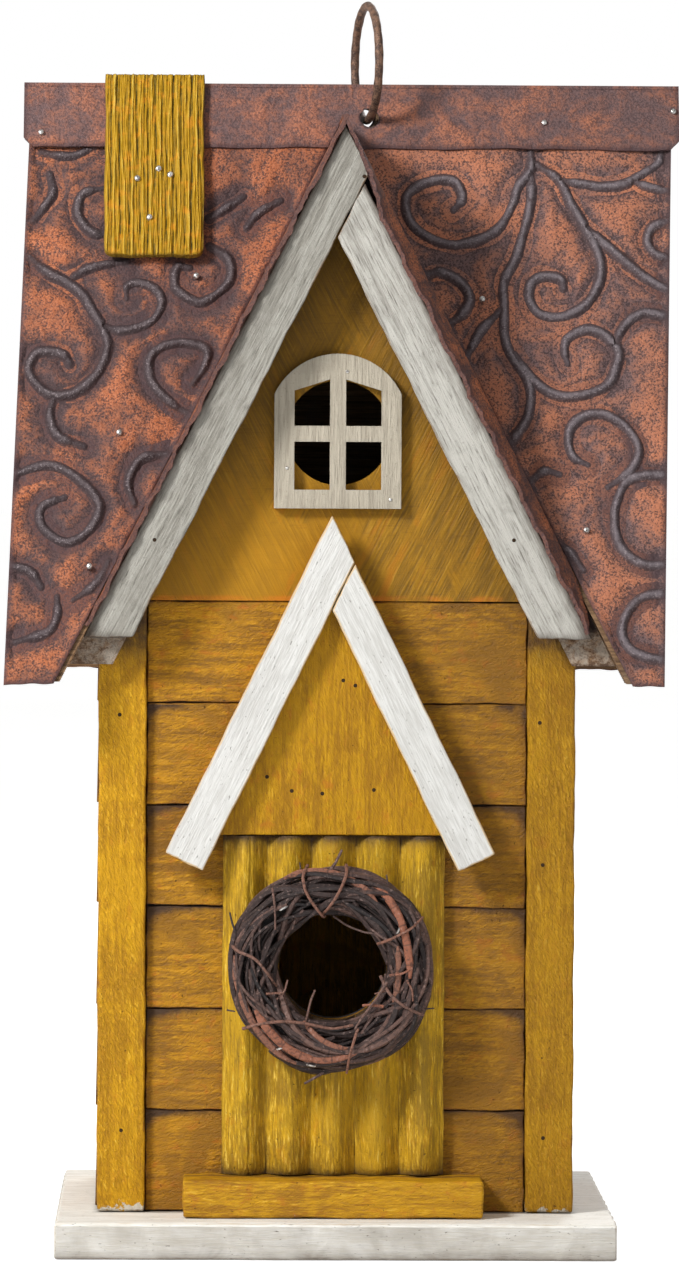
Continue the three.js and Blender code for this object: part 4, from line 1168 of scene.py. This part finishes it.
rng = np.random.default_rng(12)
# Painted shade: a nearly black ring inside the band fills the gaps between the twigs.
around = np.linspace(0, 2 * np.pi, 73)
shade_core = np.stack([WREATH[0] + WREATH_MIDDLE * np.cos(around), 0 * around + WREATH[1] + 1.0,
                 WREATH[2] + WREATH_MIDDLE * np.sin(around)], -1)
twigs = [carried(shade_core, WREATH_BAND * 0.62, 10, 0.55, {"tone": 0.0})]
TWIGS, INNER_TWIGS = 165, 50
for i in range(TWIGS):
    thick = rng.choice([0.5, 0.65, 0.9, 1.2], p=[0.22, 0.33, 0.30, 0.15])
    inner = i < INNER_TWIGS
    share = rng.uniform(0.35, 0.7) if inner else rng.uniform(0.74, 0.90)
    span = rng.uniform(0.7, 2.4) * rng.choice([-1, 1])
    # Inner twigs take dark tones: painted shade deep in the band.
    tone = rng.uniform(0.0, 0.4) if inner else rng.beta(2, 2.4) * 0.85 + (0.25 if rng.random() < 0.07 else 0)
    path = wound(rng.uniform(0, 2 * np.pi), span, share, rng.uniform(-0.5, np.pi + 0.5), rng.normal(0, 1.3),
                 rng.uniform(1, 4), rng.uniform(0, 6))
    end = to_nearer_end(path)
    radius = thick * (0.62 + 0.38 * np.clip(end * 9, 0, 1)) * (1 + 0.06 * wander(end * 60, i, 9))
    twigs.append(carried(path, radius, 6, marks={"tone": min(tone, 1.0)}))

# Broad strips with red bark: start angle in degrees, span, place round the section, thickness and tone.
RED_STRIPS = ((118, -62, 1.15, 1.15, 0.9), (72, -78, 1.0, 1.25, 0.97), (208, 55, 1.1, 1.3, 0.95),
              (172, 78, 0.5, 1.1, 0.88), (282, -40, 2.2, 0.9, 0.9), (255, 36, 1.5, 1.0, 0.93),
              (20, -50, 1.7, 0.9, 0.86))
for start, span, around, thick, tone in RED_STRIPS:
    path = wound(math.radians(start), math.radians(span), 0.96, around, 0.5, 2.0, 1.0)
    radius = thick * (0.35 + 0.65 * np.clip(to_nearer_end(path) * 7, 0, 1))
    twigs.append(carried(path, radius, 8, 0.55, {"tone": tone}))

# Shoots that bind the ring, loose ends that stand out of it, and one that hangs in the entrance: points as
# (x, z, how far in front) from the wreath's middle, then a thickness and a tone.
BINDING = [
    ([(-7.5, 32.5, 2), (-9.0, 29, 6.2), (-7.6, 23.5, 7.2), (-3.2, 17.2, 6.0), (-2.0, 16.4, 2)], 0.55, 0.82),
    ([(4.6, 32.6, 2), (4.4, 29.5, 6.2), (2.0, 24, 7.2), (-1.0, 19.4, 6.4), (-3.0, 17.0, 2)], 0.55, 0.84),
    ([(0.5, 16.6, 1.0), (5, 13.6, 2.0), (10, 11.7, 3.0), (13.8, 10.8, 4.0), (17, 6, 4.5)], 0.38, 0.5),
    ([(14.5, 8.0, 3.0), (17.5, 9.2, 6.0), (21, 11, 7.4), (25, 13.2, 7.0), (28.6, 16.4, 3)], 0.5, 0.85),
    ([(-31.6, 7.6, 2), (-29, 5.6, 5.8), (-24, 3.4, 7.2), (-19.8, -1.4, 6.6), (-17.2, -5.4, 3)], 0.55, 0.78),
    ([(-27.6, -18.8, 3), (-22, -17.0, 6.2), (-15, -16.2, 6.6), (-8, -16.8, 6.4), (0, -18.4, 5.6),
      (7, -17.4, 5)], 0.55, 0.8),
    ([(15.4, -2.0, 4), (18, -7.0, 6.4), (22.4, -11, 7.2), (27.4, -13.6, 5.0),
      (29.0, -14.2, 4)], 0.55, 0.74),
    ([(8.4, -18.4, 5.4), (7.2, -22, 7.0), (5.8, -27, 7.0), (5.0, -32.6, 3)], 0.5, 0.86),
    ([(17.6, -3.6, 6), (14.0, -9.0, 6.6), (9.6, -15.0, 6.4), (7.4, -18.6, 6.0)], 0.42, 0.7),
    ([(-0.6, 31, 4.0), (1.2, 33.4, 3.6), (3.2, 37.4, 3.0)], 0.55, 0.55),
    ([(-9.6, 30.6, 3), (-10, 33.4, 2.6)], 0.3, 0.3),
    ([(17.6, 26.4, 3), (17.2, 29.6, 2.6)], 0.35, 0.45),
    ([(-30, 11.5, 2.6), (-31.0, 14.2, 2.4), (-31.8, 17.6, 2.0)], 0.4, 0.2),
    ([(29, -12.4, 3), (32.4, -12.2, 2.4)], 0.3, 0.3),
    ([(-2.2, -32.4, 3), (-5.2, -34.2, 3), (-8.2, -36.0, 2.6)], 0.5, 0.5),
    ([(-32.6, -13, 2.4), (-30, -13.4, 3)], 0.3, 0.4),
    ([(-7.8, -16.4, 3.5), (-6.4, -10, 4.5), (-5.0, -6.4, 5.0)], 0.42, 0.72),
    ([(-17.4, -9.6, 5), (-14.8, -7.0, 5.6), (-13.6, -3.2, 5.2)], 0.38, 0.76),
    ([(-20.4, -7.6, 6.6), (-15.6, -7.2, 6.2)], 0.4, 0.82),
    ([(16.4, -11.4, 6), (12.0, -11.0, 5.6), (9.8, -11.2, 5.0)], 0.5, 0.95),
    ([(16.8, -6.6, 5.6), (13.6, -7.6, 5.0)], 0.34, 0.8),
    ([(18.2, -1.6, 6.8), (22.0, -1.0, 7.2), (25.4, 0.6, 6.8)], 0.42, 0.92),
    ([(23.6, -3.0, 7.2), (25.2, -6.2, 7.2), (25.6, -9.6, 6.6)], 0.38, 0.84),
    ([(-18.6, 25.6, 6.0), (-17.8, 19.6, 6.6), (-17.6, 12.6, 6.2)], 0.4, 0.72),
    ([(-11.4, 15.4, 4.6), (-12.2, 12.4, 4.2)], 0.34, 0.5),
]
for points, thick, tone in BINDING:
    path = smooth_path(points, 0.8)
    path = np.stack([WREATH[0] + path[:, 0], WREATH[1] + 0.4 - path[:, 2], WREATH[2] + path[:, 1]], -1)
    twigs.append(carried(path, thick * np.linspace(1.0, 0.75, len(path)), 7, marks={"tone": tone}))

points, faces, marks = joined(twigs)
piece = make_piece("twig_wreath", points, faces, twig_finish(), marks)
stands_for(piece, "house", "twigs", "wreath")

# ---- Slat over the ridge ----------------------------------------------------------------------------
# A rough strip of split softwood nailed over the cap on the front slope. Its raised grain is ochre with
# cream tops, and the hollows have kept dark green paint.


def slat_finish():
    """Paint that follows the raised grain: dark green in the hollows, ochre above, and cream on the tops."""
    material, place = start_finish("split_grain")
    relief, wear = place.mark("relief"), place.mark("wear")
    fibre = place.stretched((0, 0, 0), (3000, 3000, 150)).noise(1.0, 3)
    mottle = place.noise(260, 4, 0.65)
    level = relief * 0.72 + fibre * 0.42 + (mottle - 0.5) * 0.4
    colour = level.node("ValToRGB", {"stops": [
        (0.14, tint(56, 48, 12)), (0.32, tint(106, 84, 8)), (0.50, tint(148, 110, 4)),
        (0.70, tint(166, 126, 8)), (0.90, tint(186, 156, 62))]}, {0: level})
    colour = (mottle.between(0.52, 0.66) * 0.45).mix(colour, tint(198, 124, 14))
    colour = ((wear + (mottle - 0.5)).between(0.4, 1.0) * 0.6).mix(colour, tint(92, 74, 26))
    return end_finish(material, colour, 0.68, relief * 0.5 + fibre * 0.5, 0.3)


low, high = node_box("ridge_slat")
SLAT_WIDTH, SLAT_LENGTH, SLAT_THICK = high[0] - low[0], 63.5, 3.0
SLAT_ABOVE, SLAT_UNDER, SLAT_CORNER = 5.0, 1.8, 2.6
down_slope = np.array([0, -math.cos(MAIN_TURN), -math.sin(MAIN_TURN)])
square_out = np.array([0, -math.sin(MAIN_TURN), math.cos(MAIN_TURN)])
slat_middle = (low[0] + high[0]) / 2


def split_slat():
    """A grid across the slat and down it. Its height is a sum of narrow waves across, each drifting as it
    goes down, and its foot's corners are rounded."""
    along = np.concatenate([[0, 0.25, 0.7], np.linspace(1.3, SLAT_LENGTH - 1.3, 90),
                            [SLAT_LENGTH - 0.7, SLAT_LENGTH - 0.25, SLAT_LENGTH]])[:, None]
    share = np.linspace(-1, 1, 170)[None, :]
    close = np.clip(along - SLAT_LENGTH + SLAT_CORNER, 0, SLAT_CORNER)
    half = SLAT_WIDTH / 2 - (SLAT_CORNER - np.sqrt(SLAT_CORNER ** 2 - close ** 2))
    half = half + 0.25 * wander(along, 91, 40)
    across = half * share
    draw = np.random.default_rng(9)
    relief = 0 * across
    for width in (2.9, 2.0, 1.5, 1.15, 0.9, 0.7):
        drift = draw.uniform(0.3, 0.7) * wander(along, int(draw.integers(999)), 70)
        relief = relief + width ** 0.5 * np.sin(2 * np.pi * (across + drift) / width + draw.uniform(0, 6.3))
    relief = 0.5 + relief / 9.0
    edge = np.minimum(np.minimum(half - np.abs(across), along), SLAT_LENGTH - along)
    height = (relief - 0.5) * 0.75 - 0.8 * np.exp(-edge / 0.6)
    over = -SLAT_ABOVE + along + 0.3 * wander(across, 92, 20) * (along > SLAT_LENGTH / 2)
    base = np.array([slat_middle, MIDDLE_Y, RIDGE])
    flat = base + across[..., None] * np.array([1, 0, 0]) + (over + 0 * across)[..., None] * down_slope
    front = flat + (SLAT_UNDER + SLAT_THICK - 0.35 + height)[..., None] * square_out
    points, faces, marks = closed_behind(front, flat + SLAT_UNDER * square_out, relief=np.clip(relief, 0, 1),
                                         wear=np.exp(-edge / 0.9))
    return make_piece("split_slat", points, faces, slat_finish(), marks)


stands_for(split_slat(), "house", "yellow_paint", "ridge_slat")

# ---- Nails and staples ------------------------------------------------------------------------------
# Bright round heads hold the slat, the roof metal and the window, and four wire staples the wreath.
# Elsewhere the pins are punched in, and only small dark holes show, as discs of painted shade.


def steel(name, light, dark):
    """Zinc-plated steel: cloudy light and dark patches, rougher where it is lighter."""
    material, place = start_finish(name)
    cloud = place.noise(1100, 4, 0.65)
    colour = cloud.between(0.38, 0.62).mix(dark, light)
    return end_finish(material, colour, cloud.between(0.3, 0.7, 0.25, 0.5), cloud, 0.05, metallic=0.9)


def heads(places, outward, radius, height):
    """Domed heads: circles that shrink as they rise along a quarter of an ellipse, with a short skirt below.
    The same grid is moved to each place."""
    outward = np.array(outward, float)
    side = np.cross(outward, (1.0, 0.0, 0.0))
    side /= np.linalg.norm(side)
    level = np.linspace(0, np.pi / 2 - 0.15, 5)[:, None]
    turn = np.linspace(0, 2 * np.pi, 16, endpoint=False)[None, :]
    other = np.cross(outward, side)
    dome = (radius * np.cos(level) * np.cos(turn))[..., None] * side
    dome = dome + (radius * np.cos(level) * np.sin(turn))[..., None] * other
    dome = dome + (height * np.sin(level) + 0 * turn)[..., None] * outward
    skirt = dome[:1] - 0.8 * outward
    dome = np.concatenate([skirt, dome])
    return [(dome + np.array(place), tube_faces(*dome.shape[:2]), {}) for place in places]


def on_slope(x, z, lift):
    """A point of the front slope, lifted square to it."""
    return np.array([x, main_y(z, -1), z]) + lift * square_out


SHEET_NAILS = ((-45, 307), (-69, 257), (-78, 215), (46, 300), (78, 227))
SLAT_NAILS = ((-64, 336.4), (-57.2, 339.6), (-53.5, 337.7), (-60, 323.9))
CAP_NAILS = ((66.4, 356.6), (108.0, 360.5), (-95, 352.5))
WINDOW_PINS = ((2.6, 276.6), (-16.2, 246.2), (16.4, 236.4))
nails = []
for sites, lift, radius, rise in ((SHEET_NAILS, 0.55, 0.95, 0.55), (SLAT_NAILS, 4.9, 1.0, 0.5),
                                  (CAP_NAILS, 1.9, 0.9, 0.45)):
    nails += heads([on_slope(x, z, lift) for x, z in sites], square_out, radius, rise)
window_y = node_box("window_frame")[0][1]
nails += heads([(x, window_y - 0.1, z) for x, z in WINDOW_PINS], (0, -1, 0), 0.55, 0.25)
nail_steel = steel("nail_steel", tint(232, 230, 226), tint(150, 146, 142))
stands_for(make_piece("nail_heads", *joined(nails)[:2], nail_steel), "house", "screw_steel")

staples = []
for x, z, turn in ((-15.0, 19.2, 0.5), (-15.6, -24.6, 0.3), (-6.2, -30.0, -0.2), (21.0, 12.6, 1.2)):
    t = np.linspace(-1, 1, 9)
    line = np.stack([1.3 * t * math.cos(turn), -0.7 * (1 - t ** 6), 1.3 * t * math.sin(turn)], -1)
    staples.append(carried(line + (WREATH[0] + x, WREATH[1] - WREATH_DEPTH * 0.86, WREATH[2] + z), 0.33, 6))
stands_for(make_piece("wreath_staples", *joined(staples)[:2], nail_steel), "house", "screw_steel")


def pin_hole_shade_finish():
    """Painted shade: the dark inside of a punched hole, on a small disc."""
    material, place = start_finish("pin_hole")
    return end_finish(material, place.noise(900, 3).mix(tint(26, 18, 12), tint(64, 44, 24)), 0.9)


post_front = node_box("front_left_post")[0][1]
tympanum_front = node_box("pediment_board")[0][1]
POST_HOLES = ((-68.4, 168.4), (63.8, 166.4), (65.0, 121.6), (-67.4, 37.4), (65.6, 35.4))
TRIANGLE_HOLES = ((1.8, 179.6), (5.6, 178), (-14.2, 144.8), (-4.6, 144), (11.6, 145.2), (-22, 149.2))
BARGE_HOLES = ((-57.6, 223.6), (54.8, 224), (7.4, 337.4))
holes = [(x, face - 0.03, z) for face, sites in ((post_front, POST_HOLES), (tympanum_front, TRIANGLE_HOLES),
                                                 (barge_front, BARGE_HOLES)) for x, z in sites]
pins = heads(holes, (0, -1, 0), 0.62, 0.06)
stands_for(make_piece("pin_holes", *joined(pins)[:2], pin_hole_shade_finish()), "house", "bare_timber")

# ---- Hanging ring -----------------------------------------------------------------------------------
# A loop of dull rusted wire through a bore in the ridge, not quite round, free to swing both ways.


def ring_finish():
    """Brown rust in clouds, with pale bare grains of wire."""
    material, place = start_finish("rusted_wire")
    cloud = place.noise(420, 4, 0.7)
    grit = place.noise(2400, 3, 0.7)
    colour = (cloud * 0.6 + grit * 0.4).between(0.42, 0.58).mix(tint(74, 58, 52), tint(136, 104, 84))
    colour = (grit.between(0.58, 0.72) * 0.5).mix(colour, tint(176, 160, 148))
    return end_finish(material, colour, 0.55, grit + cloud, 0.15, metallic=0.45)


low, high = node_box("hanging_ring")
ring_middle = (low + high) / 2
WIRE = 1.35
RING_RADIUS = (high[2] - low[2]) / 2 - WIRE


def wire_ring():
    """A torus: an angle round the ring and one round the wire, whose thickness varies a little."""
    turn = np.linspace(0, 2 * np.pi, 120, endpoint=False)[:, None]
    around = np.linspace(0, 2 * np.pi, 14, endpoint=False)[None, :]
    wire = WIRE * (1 + 0.03 * np.sin(9 * turn) + 0.03 * np.sin(23 * turn + 1))
    reach = RING_RADIUS + wire * np.cos(around)
    out, beside = reach * np.cos(turn), wire * np.sin(around)
    points = ring_middle + np.stack([beside * math.cos(RING_TURN) - out * math.sin(RING_TURN),
                                     out * math.cos(RING_TURN) + beside * math.sin(RING_TURN),
                                     reach * np.sin(turn)], -1)
    faces = np.array(grid_faces(121, 14, wrapped=True)) % (120 * 14)      # the last ring is the first again
    return make_piece("wire_ring", points, faces.tolist(), ring_finish())


stands_for(wire_ring(), "ring", "wire", "hanging_ring")

# ---- Back door --------------------------------------------------------------------------------------
# A little ochre door with rounded corners covers the cleaning hole and pivots on one screw, whose round
# head has a plain slot.

door_ochre = ochre_paint("door_ochre", (0, 0, 0), tint(198, 144, 14), tint(140, 98, 20), tint(212, 168, 70),
                         cross=0.25, brown_share=0.5, orange_share=0.4, depth=0.22)
ease_edges("cleanout_door", 0.6, door_ochre)
low, high = node_box("door_screw")
screw_middle = (low + high) / 2
SCREW_HEAD, SLOT_WIDTH, SLOT_DEPTH = (high[0] - low[0]) / 2, 1.0, 0.9
BACK_WALL_FACE = 59


def screw_head():
    """A shank and a domed head: circles whose radius and height out of the back wall follow a profile, with
    a slot pressed across the dome."""
    profile = np.array([(0.01, -5), (2, -4.9), (2, 0), (2, 5.6), (3.6, 5.6), (4, 5.8), (4, 6.2), (3.6, 6.9),
                        (3.2, 7.15), (2.6, 7.35), (2.0, 7.48), (1.4, 7.55), (0.8, 7.59), (0.3, 7.6),
                        (0.01, 7.6)])
    turn = np.linspace(0, 2 * np.pi, 72, endpoint=False)[None, :]
    radius = profile[:, :1] * SCREW_HEAD / 4
    x = screw_middle[0] + radius * np.cos(turn)
    z = screw_middle[2] + radius * np.sin(turn)
    in_slot = (np.abs(z - screw_middle[2]) < SLOT_WIDTH / 2) & (profile[:, 1:] > 6.9)
    y = BACK_WALL_FACE + profile[:, 1:] + 0 * turn - SLOT_DEPTH * in_slot
    zinc = steel("screw_zinc", tint(190, 188, 182), tint(120, 118, 112))
    return make_piece("screw_head", np.stack([x, y, z], -1), tube_faces(*x.shape), zinc)


stands_for(screw_head(), "house", "screw_steel", "door_screw")
